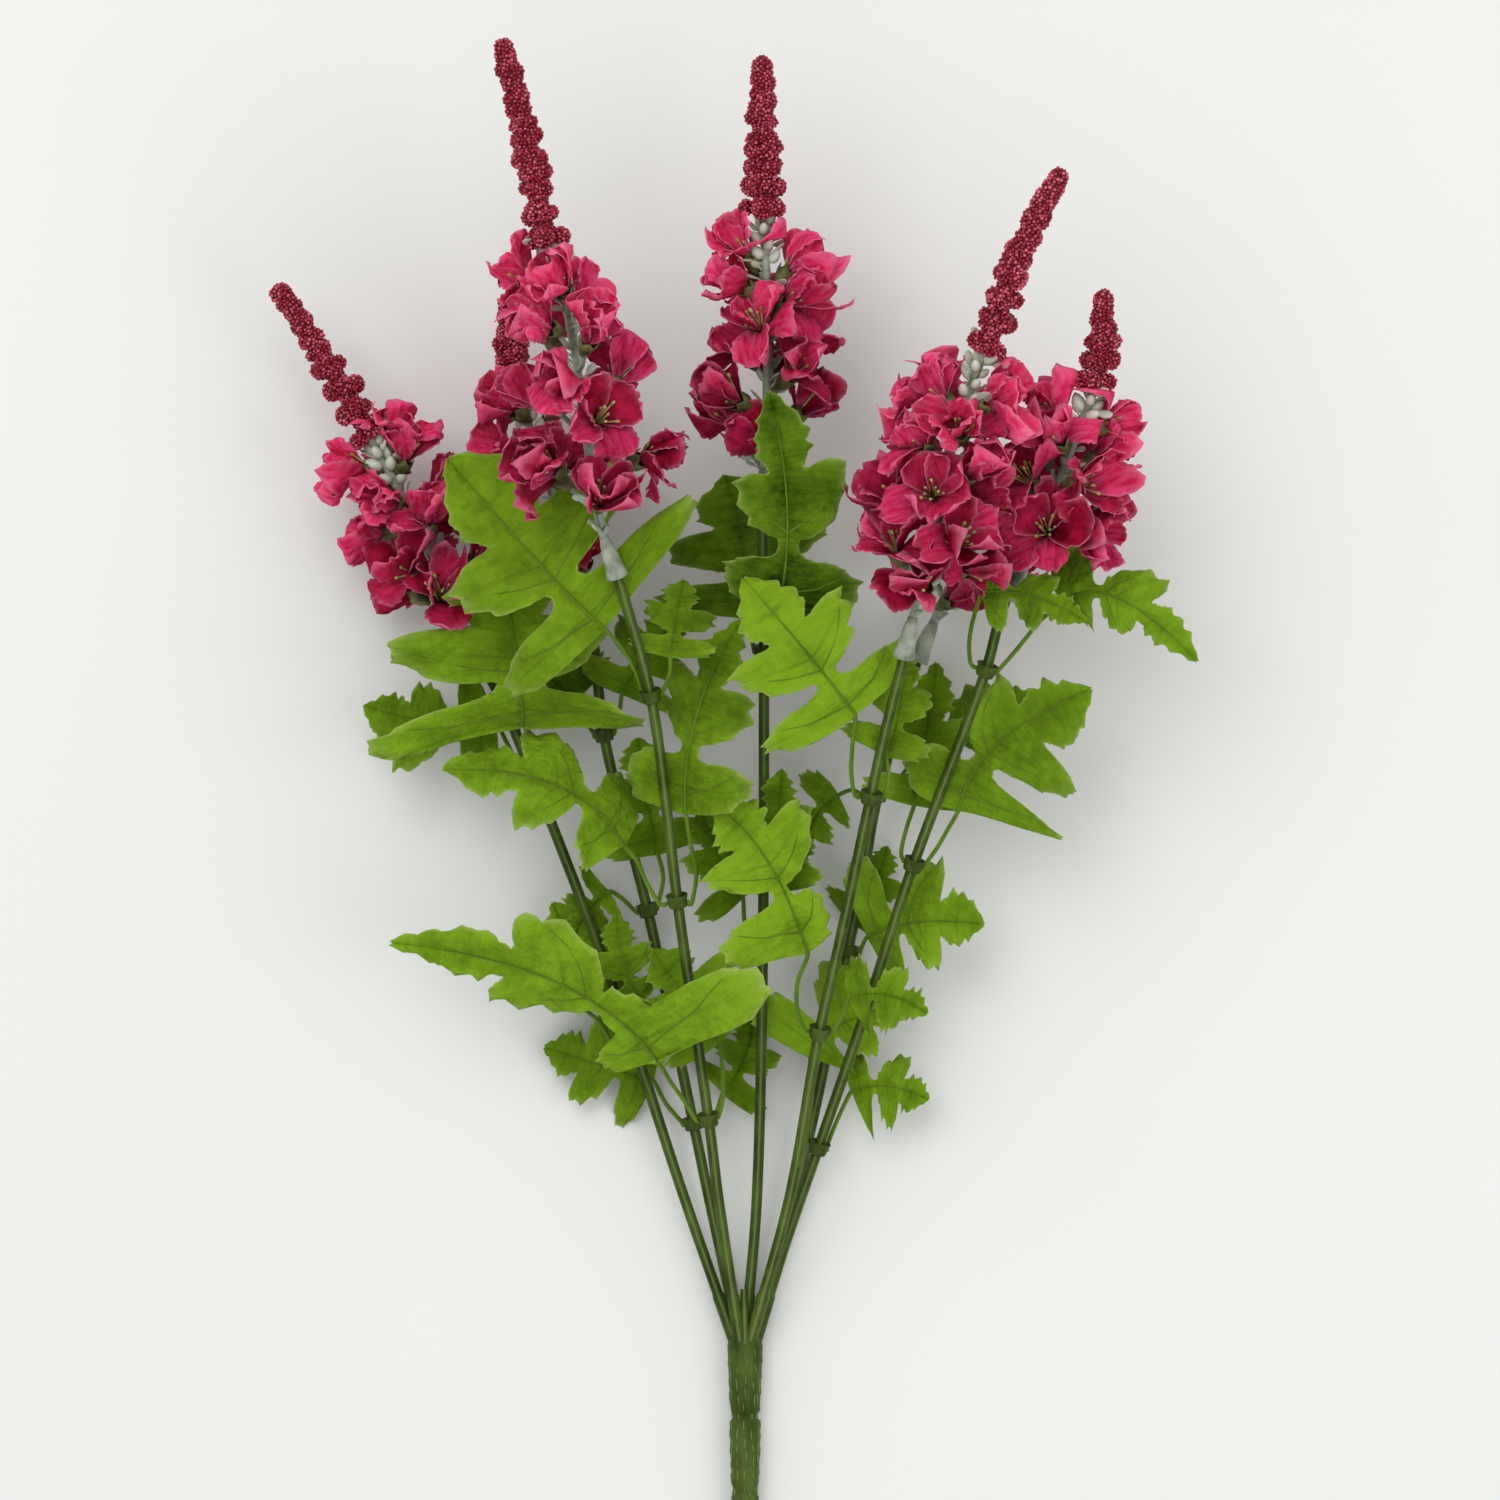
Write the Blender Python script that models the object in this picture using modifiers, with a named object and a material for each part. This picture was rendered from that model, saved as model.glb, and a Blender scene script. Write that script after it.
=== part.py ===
import math
import random

import bmesh
import bpy
from mathutils import Matrix, Vector
from mathutils.bvhtree import BVHTree

# An artificial delphinium bush lying on its back: seven spikes on one moulded stem.
# Lengths are in millimetres. X runs across the bush, Y from its trunk to its tips, Z up from the table.
MM = 0.001
UP = Vector((0, 0, 1))
WELD = 0.0000001
SEAM_WELD = 0.00001

TRUNK_CENTRE = (4.8, 7.0)
TRUNK_PROFILE = [(-207, 5.2), (-209, 6.9), (-236, 5.6), (-239, 6.1), (-265, 4.8), (-268, 5.3), (-294, 4.3)]
TRUNK_SIDES = 12
FORK_Y = -207
FORK_SINK = 5
STEM_RADIUS = 2.05
STEM_FOOT_RADIUS = 2.45
STEM_FOOT_TOP = -190
STEM_FOOT_TAPER = 3
STEM_STEP = 26
SPRUE_NUB = [(4.8, -211, 12.2), (4.3, -188, 13.6)]
SPRUE_RADIUS = 1.5
SPRUE_TAPER = 0.8

TUBE_TILT = 0.35
GAP = 0.3
SLEEVE_LENGTH = 15
SLEEVE_RADIUS = 3.5
SLEEVE_FLARE = 4.4
SLEEVE_FLARE_LENGTH = 5
SLEEVE_LIP = 0.6
BORE_DEPTH = 11
BORE_RADIUS = 2.6
BORE_START = -2
FLORAL_RADIUS = 1.7
FLORAL_FOOT = 1.5
FLORAL_STEP = 20

BEAD_WHORL = 11.5
BEAD_WHORLS_LEAST = 2
BEAD_RADIUS = 7.8
BEAD_TIP_RADIUS = 3.9
BEAD_WAIST = 0.5
BEAD_TIP_WAIST = 0.86

FLORET_RADIUS = 17.5
FLORET_RADIUS_SHARE = 0.62
FLORET_CUP = 8.5
FLORET_PETALS = 5
FLORET_NOTCH = 0.72
FLORET_NOTCH_HEIGHT = 0.62
FLORET_TILT = (32, 18, 8)
FLORET_REACH = (0.94, 1.04)
FLORET_LOOSE_PLACE = 1.5
FLORET_LOOSE_ANGLE = 0.25
FLORET_LOOSE_TURN = 1.2
FIRST_FLORET_GAP = 4
HEAD_TAPER = 0.22
PETAL_THICKNESS = 0.8
CALYX_RADIUS = 2.2
GOLDEN_ANGLE = math.radians(137.5)
FIRST_FLORET_ANGLE = math.radians(90)
AXIS_CLEARANCE = 10.2
TABLE_CLEARANCE = 0.1
HEAD_CLEARANCE = 0.7
STEM_CLEARANCE = 4.0
BEAD_CLEARANCE = 9.5

# How far a head reaches below its sleeve and above its beads' foot, and its beads past their tip
HEAD_START = 4
HEAD_END = 14
BEADS_END = 6

COLLAR_HEIGHT = 5
COLLAR_BORE = 2.8
COLLAR_FOOT = 3.7
COLLAR_RIM = 4.7
COLLAR_SIDES = 6
SLEEVE_SIDES = 8
PETIOLE_RADIUS = 1.0
PETIOLE_SHOULDER = 1.9
PETIOLE_IN_BLADE = 0.09
PETIOLE_START = 0.4
PETIOLE_CURVE = 1.3
BLADE_THICKNESS = 0.7
BLADE_ROOT = 1.2
BLADE_ARCH = 0.06
BLADE_LIFT = 2.5
BLADE_DROOP = 5.0
BLADE_LOWEST = 1
PETIOLE_LOWEST = 2
BLADE_CLEARANCE = 1.5
PETIOLE_CLEARANCE = 1.0
BLADE_LIFTS = [0, 5, -5, 10, -10, 15, -15, 20, -20, 26, -26, 32, -32, 38, -38, 46, -46]
BASE_LIFTS = [0, 4, -4, 8, -8, 12, -12, 17, -17]
TIP_LIFT_COST = 0.6

# Each row of a blade: its place on the midrib, the place of its two edges and their share of the width
BLADE_ROWS = [
    (0.00, 0.00, 0.00),
    (0.13, 0.12, 1.00),
    (0.20, 0.27, 0.92),
    (0.28, 0.30, 0.24),
    (0.37, 0.37, 0.20),
    (0.45, 0.49, 0.74),
    (0.54, 0.69, 0.72),
    (0.63, 0.68, 0.27),
    (0.76, 0.78, 0.42),
    (0.90, 0.92, 0.26),
    (1.00, 1.00, 0.02),
]
# The upper lobes start here on the midrib, and a leaf's "upper" makes them narrower, left and right
UPPER_LOBES = 0.4
EVEN_LOBES = (1, 1)

# A spike's route runs from the fork to its tip. "sleeve" and "beads" are the Y of its two joints,
# and "crown" is the Y of its highest peg.
SPIKES = {
    "a": {
        "route": [(0.2, -207, 7), (-19, -152, 12), (-36.4, -99, 17), (-53, -52, 22), (-75.7, 7, 28),
                  (-89.5, 41, 32), (-96.4, 54, 34), (-112.6, 87, 37), (-126, 116, 40), (-141.5, 145, 42),
                  (-151, 162, 43), (-177, 202, 44)],
        "sleeve": 53, "beads": 141, "crown": 131, "florets": 13, "reach": 33,
    },
    "b": {
        "route": [(2.5, -207, 11), (-5.6, -152, 24), (-9, -124, 31), (-21, -39, 54), (-31, 40, 77),
                  (-42.5, 83, 90), (-51, 110, 98), (-57.6, 156, 110), (-62.6, 187, 116), (-69.5, 210, 120),
                  (-73, 226, 122), (-78, 252, 125), (-88, 293, 128)],
        "sleeve": 88, "beads": 214, "crown": 192, "florets": 15, "reach": 36,
    },
    "c": {
        "route": [(2.5, -207, 3), (-9.4, -152, 8), (-14.8, -126, 10), (-32.5, -43, 19), (-49.5, 25, 27),
                  (-54, 64, 31), (-60.6, 95, 33), (-74, 133, 34), (-83.7, 164, 34), (-87.6, 198, 32)],
        "sleeve": 66, "beads": 160, "crown": 146, "florets": 9, "reach": 30,
    },
    "d": {
        "route": [(4.8, -207, 7), (9.4, -152, 16), (11.7, -54, 33), (12.1, 57, 54), (11.7, 125, 66),
                  (13.7, 175, 74), (12.5, 214, 78), (11.7, 233, 80), (11.4, 288, 84)],
        "sleeve": 112, "beads": 226, "crown": 202, "florets": 14, "reach": 32,
    },
    "e": {
        "route": [(7.1, -207, 11), (22, -152, 28), (33, -90, 48), (41.4, -52, 60), (52.6, 1, 78),
                  (58.7, 29, 88), (65.6, 57, 98), (74, 95, 110), (81.8, 133, 120), (90.7, 160, 127),
                  (97.2, 176, 130), (108.8, 210, 136), (126, 243, 141)],
        "sleeve": 57, "beads": 172, "crown": 148, "florets": 17, "reach": 34,
    },
    "f": {
        "route": [(7.1, -207, 3), (26, -144, 8), (39.5, -82, 13), (49.9, -31, 18), (56.8, 6, 22),
                  (71.4, 56, 29), (81.8, 79, 31), (93.4, 102, 32), (104, 125, 32), (116.5, 142, 31)],
        "sleeve": 56, "beads": 122, "crown": 108, "florets": 7, "reach": 27,
    },
    "g": {
        "route": [(9.4, -207, 7), (20.2, -171, 15), (32.5, -135, 23), (53, -75, 38), (69, -25, 51),
                  (96.8, 50, 72), (104.9, 79, 80), (116.5, 102, 85), (129.9, 137, 91), (139.6, 164, 94),
                  (142.6, 198, 96)],
        "sleeve": 80, "beads": 160, "crown": 141, "florets": 11, "reach": 31,
    },
}

# A leaf pair sits at "y" on its spike. Each leaf has its petiole, the blade's base, middle and tip as
# seen from above, its half widths left and right of the midrib, its roll in degrees, and how far the
# base and the tip stand above the stem there.
LEAF_PAIRS = {
    "a1": {"spike": "a", "y": -99, "leaves": [
        {"petiole": [(-42, -98), (-47, -92), (-52, -84)], "base": (-59, -78), "middle": (-61, -60),
         "tip": (-70, -38), "widths": (16, 26), "roll": 15, "rise": (-4, -6)},
        {"petiole": [(-33, -92), (-32, -84)], "base": (-35, -76), "middle": (-42, -62),
         "tip": (-45, -42), "widths": (15, 15), "roll": 10, "rise": (10, 18)}]},
    "a2": {"spike": "a", "y": 7, "leaves": [
        {"petiole": [(-73, 14), (-75, 24)], "base": (-81, 31), "middle": (-83.5, 58),
         "tip": (-90, 101), "widths": (58, 44), "roll": 0, "rise": (10, 22)},
        {"petiole": [(-84, 17), (-89, 27)], "base": (-92, 34), "middle": (-117, 33),
         "tip": (-143, 39), "widths": (26, 20), "roll": 20, "rise": (-4, -8)}]},
    "b1": {"spike": "b", "y": -124, "leaves": [
        {"petiole": [(-14, -122), (-19, -114), (-24, -107)], "base": (-27, -102), "middle": (-66, -69),
         "tip": (-131, -53), "widths": (20, 62), "upper": (1, 0.5), "roll": -25, "rise": (12, 22)},
        {"petiole": [(-4, -114), (-4, -102)], "base": (-5, -92), "middle": (-17, -76),
         "tip": (-31, -56), "widths": (20, 28), "roll": 10, "rise": (-6, -14)}]},
    "b2": {"spike": "b", "y": -39, "leaves": [
        {"petiole": [(-28, -38), (-33, -30), (-37, -21)], "base": (-42, -15), "middle": (-68, 8),
         "tip": (-111, 14), "widths": (26, 34), "roll": 40, "rise": (10, 16)},
        {"petiole": [(-16, -38), (-14, -26), (-16, -16)], "base": (-18, -3), "middle": (-14, 34),
         "tip": (3, 71), "widths": (24, 26), "roll": -35, "rise": (8, 18)}]},
    "b3": {"spike": "b", "y": 40, "leaves": [
        {"petiole": [(-37, 51), (-42, 60)], "base": (-49, 68), "middle": (-74, 93),
         "tip": (-109, 133), "widths": (40, 56), "roll": 5, "rise": (14, 26)},
        {"petiole": [(-26, 46), (-24, 52)], "base": (-24, 57), "middle": (-22, 71),
         "tip": (-19, 87), "widths": (15, 17), "roll": -5, "rise": (2, -8)}]},
    "c1": {"spike": "c", "y": -126, "leaves": [
        {"petiole": [(-20, -123), (-26, -116)], "base": (-31, -107), "middle": (-51, -101),
         "tip": (-73, -94), "widths": (20, 22), "roll": 0, "rise": (-2, -4)},
        {"petiole": [(-9, -124), (-6, -118)], "base": (-4, -112), "middle": (4, -99),
         "tip": (8, -82), "widths": (16, 16), "roll": 0, "rise": (-2, -4)}]},
    "c2": {"spike": "c", "y": -43, "leaves": [
        {"petiole": [(-38, -41), (-43, -36)], "base": (-48, -33), "middle": (-55, -40),
         "tip": (-61, -50), "widths": (12, 13), "roll": 0, "rise": (3, 0)},
        {"petiole": [(-29, -38), (-27, -28)], "base": (-29, -19), "middle": (-33, 4),
         "tip": (-37, 26), "widths": (20, 20), "roll": 0, "rise": (3, 8)}]},
    "c3": {"spike": "c", "y": 25, "leaves": [
        {"petiole": [(-54, 28), (-58, 34)], "base": (-61, 40), "middle": (-76, 54),
         "tip": (-96, 66), "widths": (20, 20), "roll": 0, "rise": (-3, -10)},
        {"petiole": [(-46, 28), (-44, 36)], "base": (-43, 43), "middle": (-34, 58),
         "tip": (-20, 74), "widths": (20, 22), "roll": 0, "rise": (4, 10)}]},
    "d1": {"spike": "d", "y": -54, "leaves": [
        {"petiole": [(7, -52), (4.5, -45)], "base": (4, -36), "middle": (-4, -22),
         "tip": (-13, 0), "widths": (18, 20), "roll": 10, "rise": (0, 2)},
        {"petiole": [(16, -50), (19, -42)], "base": (20, -33), "middle": (18, -10),
         "tip": (19, 14), "widths": (16, 16), "roll": -20, "rise": (3, 4)}]},
    "d2": {"spike": "d", "y": 57, "leaves": [
        {"petiole": [(15, 62), (16, 68)], "base": (17, 74), "middle": (21, 113),
         "tip": (14, 158), "widths": (22, 28), "roll": 0, "rise": (33, 62)},
        {"petiole": [(8, 61), (7, 67)], "base": (6, 72), "middle": (4, 98),
         "tip": (-3, 128), "widths": (34, 40), "roll": 0, "rise": (-6, -26)}]},
    "e1": {"spike": "e", "y": -90, "leaves": [
        {"petiole": [(28, -87), (25, -79), (25, -68)], "base": (29, -57), "middle": (14, -22),
         "tip": (-6, 0), "widths": (30, 28), "roll": 0, "rise": (12, 22)},
        {"petiole": [(38, -88), (42, -81)], "base": (45, -74), "middle": (59, -73),
         "tip": (75, -80), "widths": (14, 16), "roll": 0, "rise": (4, 2)}]},
    "e2": {"spike": "e", "y": 1, "leaves": [
        {"petiole": [(47, 4), (45.5, 13), (46, 24)], "base": (47, 35), "middle": (30, 57),
         "tip": (4.5, 87), "widths": (34, 30), "roll": 0, "rise": (12, 14)},
        {"petiole": [(58, 4), (60, 11)], "base": (59, 19), "middle": (64, 38),
         "tip": (65, 60), "widths": (19, 16), "roll": 15, "rise": (6, -2)}]},
    "f1": {"spike": "f", "y": -59, "leaves": [
        {"petiole": [(49, -58), (50, -55)], "base": (52, -51), "middle": (72, -45),
         "tip": (97, -46), "widths": (28, 22), "roll": 0, "rise": (12, 24)},
        {"petiole": [(41, -55), (42, -50)], "base": (45, -45), "middle": (54, -32),
         "tip": (60, -16), "widths": (14, 14), "roll": 0, "rise": (-3, -6)}]},
    "f2": {"spike": "f", "y": 2, "leaves": [
        {"petiole": [(51, 4), (46, 6)], "base": (41, 4), "middle": (31, -6),
         "tip": (25, -24), "widths": (12, 14), "roll": 0, "rise": (0, 0)},
        {"petiole": [(61, 6), (65, 11)], "base": (69, 16), "middle": (92, 32),
         "tip": (122, 42), "widths": (16, 16), "roll": 0, "rise": (2, 4)}]},
    "g1": {"spike": "g", "y": -135, "leaves": [
        {"petiole": [(29, -130), (30, -118), (31, -108)], "base": (30, -98), "middle": (44, -84),
         "tip": (72, -76), "widths": (30, 20), "roll": 0, "rise": (4, -4)},
        {"petiole": [(37, -131), (41, -121)], "base": (46, -111), "middle": (60, -109),
         "tip": (76, -114), "widths": (15, 19), "roll": 0, "rise": (6, 8)}]},
    "g2": {"spike": "g", "y": -25, "leaves": [
        {"petiole": [(65, -18), (67, -9)], "base": (70, 0), "middle": (74, 22),
         "tip": (79, 55), "widths": (20, 20), "roll": 0, "rise": (-4, -10)},
        {"petiole": [(74, -23), (79, -16), (83, -9)], "base": (87, -2), "middle": (103, 25),
         "tip": (138, 45), "widths": (24, 40), "roll": 0, "rise": (8, 12)}]},
    "g3": {"spike": "g", "y": 50, "leaves": [
        {"petiole": [(91.5, 55), (91, 64), (93, 74)], "base": (96, 82), "middle": (114, 81),
         "tip": (135, 71), "widths": (12, 15), "roll": 0, "rise": (14, 26)},
        {"petiole": [(102, 52), (109, 60), (119, 72)], "base": (127, 78), "middle": (148, 80),
         "tip": (178, 56), "widths": (18, 14), "roll": 0, "rise": (8, 10)}]},
}

MATERIALS = {
    "stem plastic": ((0.055, 0.100, 0.028), 0.45),
    "petal fabric": ((0.510, 0.013, 0.080), 0.75),
    "bead coat": ((0.220, 0.010, 0.045), 0.55),
    "leaf fabric": ((0.190, 0.410, 0.010), 0.70),
}


def clear_scene():
    for old in list(bpy.data.objects):
        bpy.data.objects.remove(old, do_unlink=True)


def new_collection(name):
    group = bpy.data.collections.new(name)
    bpy.context.scene.collection.children.link(group)
    return group


def make_material(name):
    colour, roughness = MATERIALS[name]
    material = bpy.data.materials.new(name)
    material.use_nodes = True
    shader = material.node_tree.nodes["Principled BSDF"]
    shader.inputs["Base Color"].default_value = (*colour, 1)
    shader.inputs["Roughness"].default_value = roughness
    return material


def route_point(spike, y):
    """The spike's centre line at Y, a smooth curve through the route's points."""
    route = SPIKES[spike]["route"]
    last = len(route) - 1
    i = 0
    while i < last - 1 and y > route[i + 1][1]:
        i += 1
    a, b = Vector(route[i]), Vector(route[i + 1])
    before = Vector(route[max(i - 1, 0)])
    after = Vector(route[min(i + 2, last)])
    span = b.y - a.y
    slope_a = (b - before) / (b.y - before.y)
    slope_b = (after - a) / (after.y - a.y)
    t = (y - a.y) / span
    if t < 0:
        return a + slope_a * (y - a.y)
    if t > 1:
        return b + slope_b * (y - b.y)
    return ((2 * t**3 - 3 * t**2 + 1) * a + (t**3 - 2 * t**2 + t) * span * slope_a
            + (3 * t**2 - 2 * t**3) * b + (t**3 - t**2) * span * slope_b)


def route_direction(spike, y):
    return (route_point(spike, y + 1) - route_point(spike, y - 1)).normalized()


def side_directions(direction):
    """Two directions square to a stem: across the bush, and up from the table."""
    across = direction.cross(UP).normalized()
    return across, across.cross(direction).normalized()


def socket(spike):
    """The sleeve's foot and its direction: the stem's end, the bore and the sleeve share this line."""
    sleeve = SPIKES[spike]["sleeve"]
    foot = route_point(spike, sleeve)
    return foot, (route_point(spike, sleeve + SLEEVE_LENGTH) - foot).normalized()


def spread_values(first, last, step):
    count = max(2, round(abs(last - first) / step) + 1)
    return [first + (last - first) * i / (count - 1) for i in range(count)]


def add_object(name, mesh, group):
    obj = bpy.data.objects.new(name, mesh)
    group.objects.link(obj)
    return obj


def evaluated_mesh(obj):
    graph = bpy.context.evaluated_depsgraph_get()
    return bpy.data.meshes.new_from_object(obj.evaluated_get(graph))


def tube(name, points, radii, group, resolution=1):
    """A round bar through points, made a closed mesh so that it can be joined."""
    curve = bpy.data.curves.new(name, "CURVE")
    curve.dimensions = "3D"
    curve.bevel_depth = MM
    curve.bevel_resolution = resolution
    curve.use_fill_caps = True
    spline = curve.splines.new("POLY")
    spline.points.add(len(points) - 1)
    for spot, place, radius in zip(spline.points, points, radii):
        spot.co = (*(Vector(place) * MM), 1)
        spot.radius = radius
        spot.tilt = TUBE_TILT
    drawn = add_object(name + " curve", curve, group)
    bpy.context.view_layer.update()
    mesh = evaluated_mesh(drawn)
    bm = bmesh.new()
    bm.from_mesh(mesh)
    bmesh.ops.remove_doubles(bm, verts=bm.verts, dist=SEAM_WELD)
    bmesh.ops.recalc_face_normals(bm, faces=bm.faces)
    bm.to_mesh(mesh)
    bm.free()
    solid = add_object(name, mesh, group)
    solid.matrix_world = drawn.matrix_world
    bpy.data.objects.remove(drawn, do_unlink=True)
    return solid


def turned(name, profile, sides, centre, direction, group):
    """A profile of (place along the axis, radius) pairs, turned about a line; it may be a closed ring."""
    closed = profile[0] == profile[-1]
    corners = profile[:-1] if closed else profile
    bm = bmesh.new()
    verts = [bm.verts.new((radius * MM, 0, along * MM)) for along, radius in corners]
    for a, b in zip(verts, verts[1:]):
        bm.edges.new((a, b))
    if closed:
        bm.edges.new((verts[-1], verts[0]))
    bmesh.ops.spin(bm, geom=bm.verts[:] + bm.edges[:], axis=(0, 0, 1), cent=(0, 0, 0),
                   angle=math.tau, steps=sides, use_merge=True)
    bmesh.ops.remove_doubles(bm, verts=bm.verts, dist=SEAM_WELD)
    bmesh.ops.recalc_face_normals(bm, faces=bm.faces)
    mesh = bpy.data.meshes.new(name)
    bm.to_mesh(mesh)
    bm.free()
    obj = add_object(name, mesh, group)
    turn = Vector(direction).to_track_quat("Z", "Y").to_matrix().to_4x4()
    mesh.transform(Matrix.Translation(Vector(centre) * MM) @ turn)
    return obj


def sheet(name, points, faces, thickness, group):
    """An open surface given a thickness."""
    mesh = bpy.data.meshes.new(name)
    mesh.from_pydata([tuple(point * MM) for point in points], [], faces)
    obj = add_object(name, mesh, group)
    shell = obj.modifiers.new("Thickness", "SOLIDIFY")
    shell.thickness = thickness * MM
    shell.offset = 0
    return obj


def largest_body(mesh):
    """Keeps the body that everything is fused into, and drops scraps and sealed hollows."""
    bm = bmesh.new()
    bm.from_mesh(mesh)
    bmesh.ops.triangulate(bm, faces=bm.faces)
    bmesh.ops.remove_doubles(bm, verts=bm.verts, dist=WELD)
    same_corners = {}
    for face in bm.faces:
        same_corners.setdefault(frozenset(face.verts), []).append(face)
    flat = [face for faces in same_corners.values() if len(faces) > 1 for face in faces]
    bmesh.ops.delete(bm, geom=flat, context="FACES")
    seen = set()
    bodies = []
    for start in bm.faces:
        if start in seen:
            continue
        seen.add(start)
        body = [start]
        for face in body:
            for edge in face.edges:
                for near in edge.link_faces:
                    if near not in seen:
                        seen.add(near)
                        body.append(near)
        bodies.append(body)
    bodies.sort(key=len)
    loose = [face for body in bodies[:-1] for face in body]
    bmesh.ops.delete(bm, geom=loose, context="FACES")
    bm.to_mesh(mesh)
    bm.free()
    return mesh


def fuse(base, parts_group, material, cutter=None):
    """Joins a base object with all of a collection, cuts a hole, and leaves one named object."""
    joined = base.modifiers.new("Join", "BOOLEAN")
    joined.operation = "UNION"
    joined.solver = "MANIFOLD"
    joined.operand_type = "COLLECTION"
    joined.collection = parts_group
    if cutter:
        hole = base.modifiers.new("Bore", "BOOLEAN")
        hole.operation = "DIFFERENCE"
        hole.solver = "MANIFOLD"
        hole.object = cutter
    bpy.context.view_layer.update()
    mesh = largest_body(evaluated_mesh(base))
    base.modifiers.clear()
    base.data = mesh
    for part in list(parts_group.objects):
        bpy.data.objects.remove(part, do_unlink=True)
    mesh.materials.clear()
    mesh.materials.append(material)
    return base


def make_stems(group, loose, material):
    """The trunk, the seven stems and the cut sprue nub, moulded as one."""
    trunk_place = (TRUNK_CENTRE[0], 0, TRUNK_CENTRE[1])
    profile = [(TRUNK_PROFILE[0][0], 0), *TRUNK_PROFILE, (TRUNK_PROFILE[-1][0], 0)]
    trunk = turned("stems", profile, TRUNK_SIDES, trunk_place, (0, 1, 0), group)
    for spike, plan in SPIKES.items():
        foot, direction = socket(spike)
        collars = [pair["y"] + COLLAR_HEIGHT / 2 for pair in LEAF_PAIRS.values() if pair["spike"] == spike]
        stops = [STEM_FOOT_TOP, *sorted(collars), plan["sleeve"]]
        heights = [FORK_Y - FORK_SINK, FORK_Y, STEM_FOOT_TOP - STEM_FOOT_TAPER, STEM_FOOT_TOP]
        for lower, upper in zip(stops, stops[1:]):
            heights += spread_values(lower, upper, STEM_STEP)[1:]
        points = [route_point(spike, y) for y in heights] + [foot + direction * (BORE_DEPTH - GAP)]
        radii = [STEM_FOOT_RADIUS] * 3 + [STEM_RADIUS] * (len(points) - 3)
        tube("stem " + spike, points, radii, loose)
    tube("sprue nub", SPRUE_NUB, [SPRUE_RADIUS, SPRUE_RADIUS * SPRUE_TAPER], loose)
    return fuse(trunk, loose, material)


def make_beads(spike, group, material):
    """The tapered bead spike: whorls with waists between them."""
    plan = SPIKES[spike]
    first = plan["beads"] + GAP
    last = plan["route"][-1][1]
    whorls = max(BEAD_WHORLS_LEAST, round((last - first) / BEAD_WHORL))
    points = []
    radii = []
    for i in range(2 * whorls + 1):
        share = i / (2 * whorls)
        full = BEAD_RADIUS + (BEAD_TIP_RADIUS - BEAD_RADIUS) * share
        waist = BEAD_WAIST + (BEAD_TIP_WAIST - BEAD_WAIST) * share
        points.append(route_point(spike, first + (last - first) * share))
        radii.append(full * (1 if i % 2 else waist))
    beads = tube("beads_" + spike, points, radii, group)
    beads.data.materials.append(material)
    return beads


def floret_places(spike):
    """Where each floret sits: its root on the stem, its direction and its size."""
    plan = SPIKES[spike]
    rng = random.Random("florets " + spike)
    first = plan["sleeve"] + SLEEVE_LENGTH + FIRST_FLORET_GAP
    last = plan["crown"]
    places = []
    for k in range(plan["florets"]):
        share = k / (plan["florets"] - 1)
        y = first + (last - first) * share + rng.uniform(-FLORET_LOOSE_PLACE, FLORET_LOOSE_PLACE)
        direction = route_direction(spike, y)
        across, up = side_directions(direction)
        angle = FIRST_FLORET_ANGLE + GOLDEN_ANGLE * k + rng.uniform(-FLORET_LOOSE_ANGLE, FLORET_LOOSE_ANGLE)
        outward = across * math.cos(angle) + up * math.sin(angle)
        base_tilt, added_tilt, loose_tilt = FLORET_TILT
        tilt = math.radians(base_tilt + added_tilt * share + rng.uniform(-loose_tilt, loose_tilt))
        aim = outward * math.cos(tilt) + direction * math.sin(tilt)
        reach = plan["reach"] * (1 - HEAD_TAPER * share) * rng.uniform(*FLORET_REACH)
        turn = rng.uniform(0, FLORET_LOOSE_TURN)
        places.append({"root": route_point(spike, y), "aim": aim, "reach": reach, "turn": turn})
    return places


def petal_point(spike, point):
    """Keeps a petal off its own axis, off the other spikes and above the table."""
    own = route_point(spike, point.y)
    radial = point - own
    if radial.length < AXIS_CLEARANCE:
        point = own + radial.normalized() * AXIS_CLEARANCE
    for other, plan in SPIKES.items():
        tip = plan["route"][-1][1]
        if other == spike or point.y > tip + BEADS_END:
            continue
        towards = route_point(other, min(point.y, tip)) - own
        distance = towards.length
        if point.y < plan["sleeve"] - HEAD_START:
            room = distance - STEM_CLEARANCE
        elif point.y > plan["beads"] + HEAD_END:
            room = distance - BEAD_CLEARANCE
        else:
            room = distance * plan_share(spike, other) - HEAD_CLEARANCE
        excess = (point - own).dot(towards / distance) - room
        if excess > 0:
            point = point - towards / distance * excess
    return Vector((point.x, point.y, max(point.z, TABLE_CLEARANCE)))


def plan_share(spike, other):
    """How much of the room between two heads belongs to the first."""
    own = SPIKES[spike]["reach"]
    return own / (own + SPIKES[other]["reach"])


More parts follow.
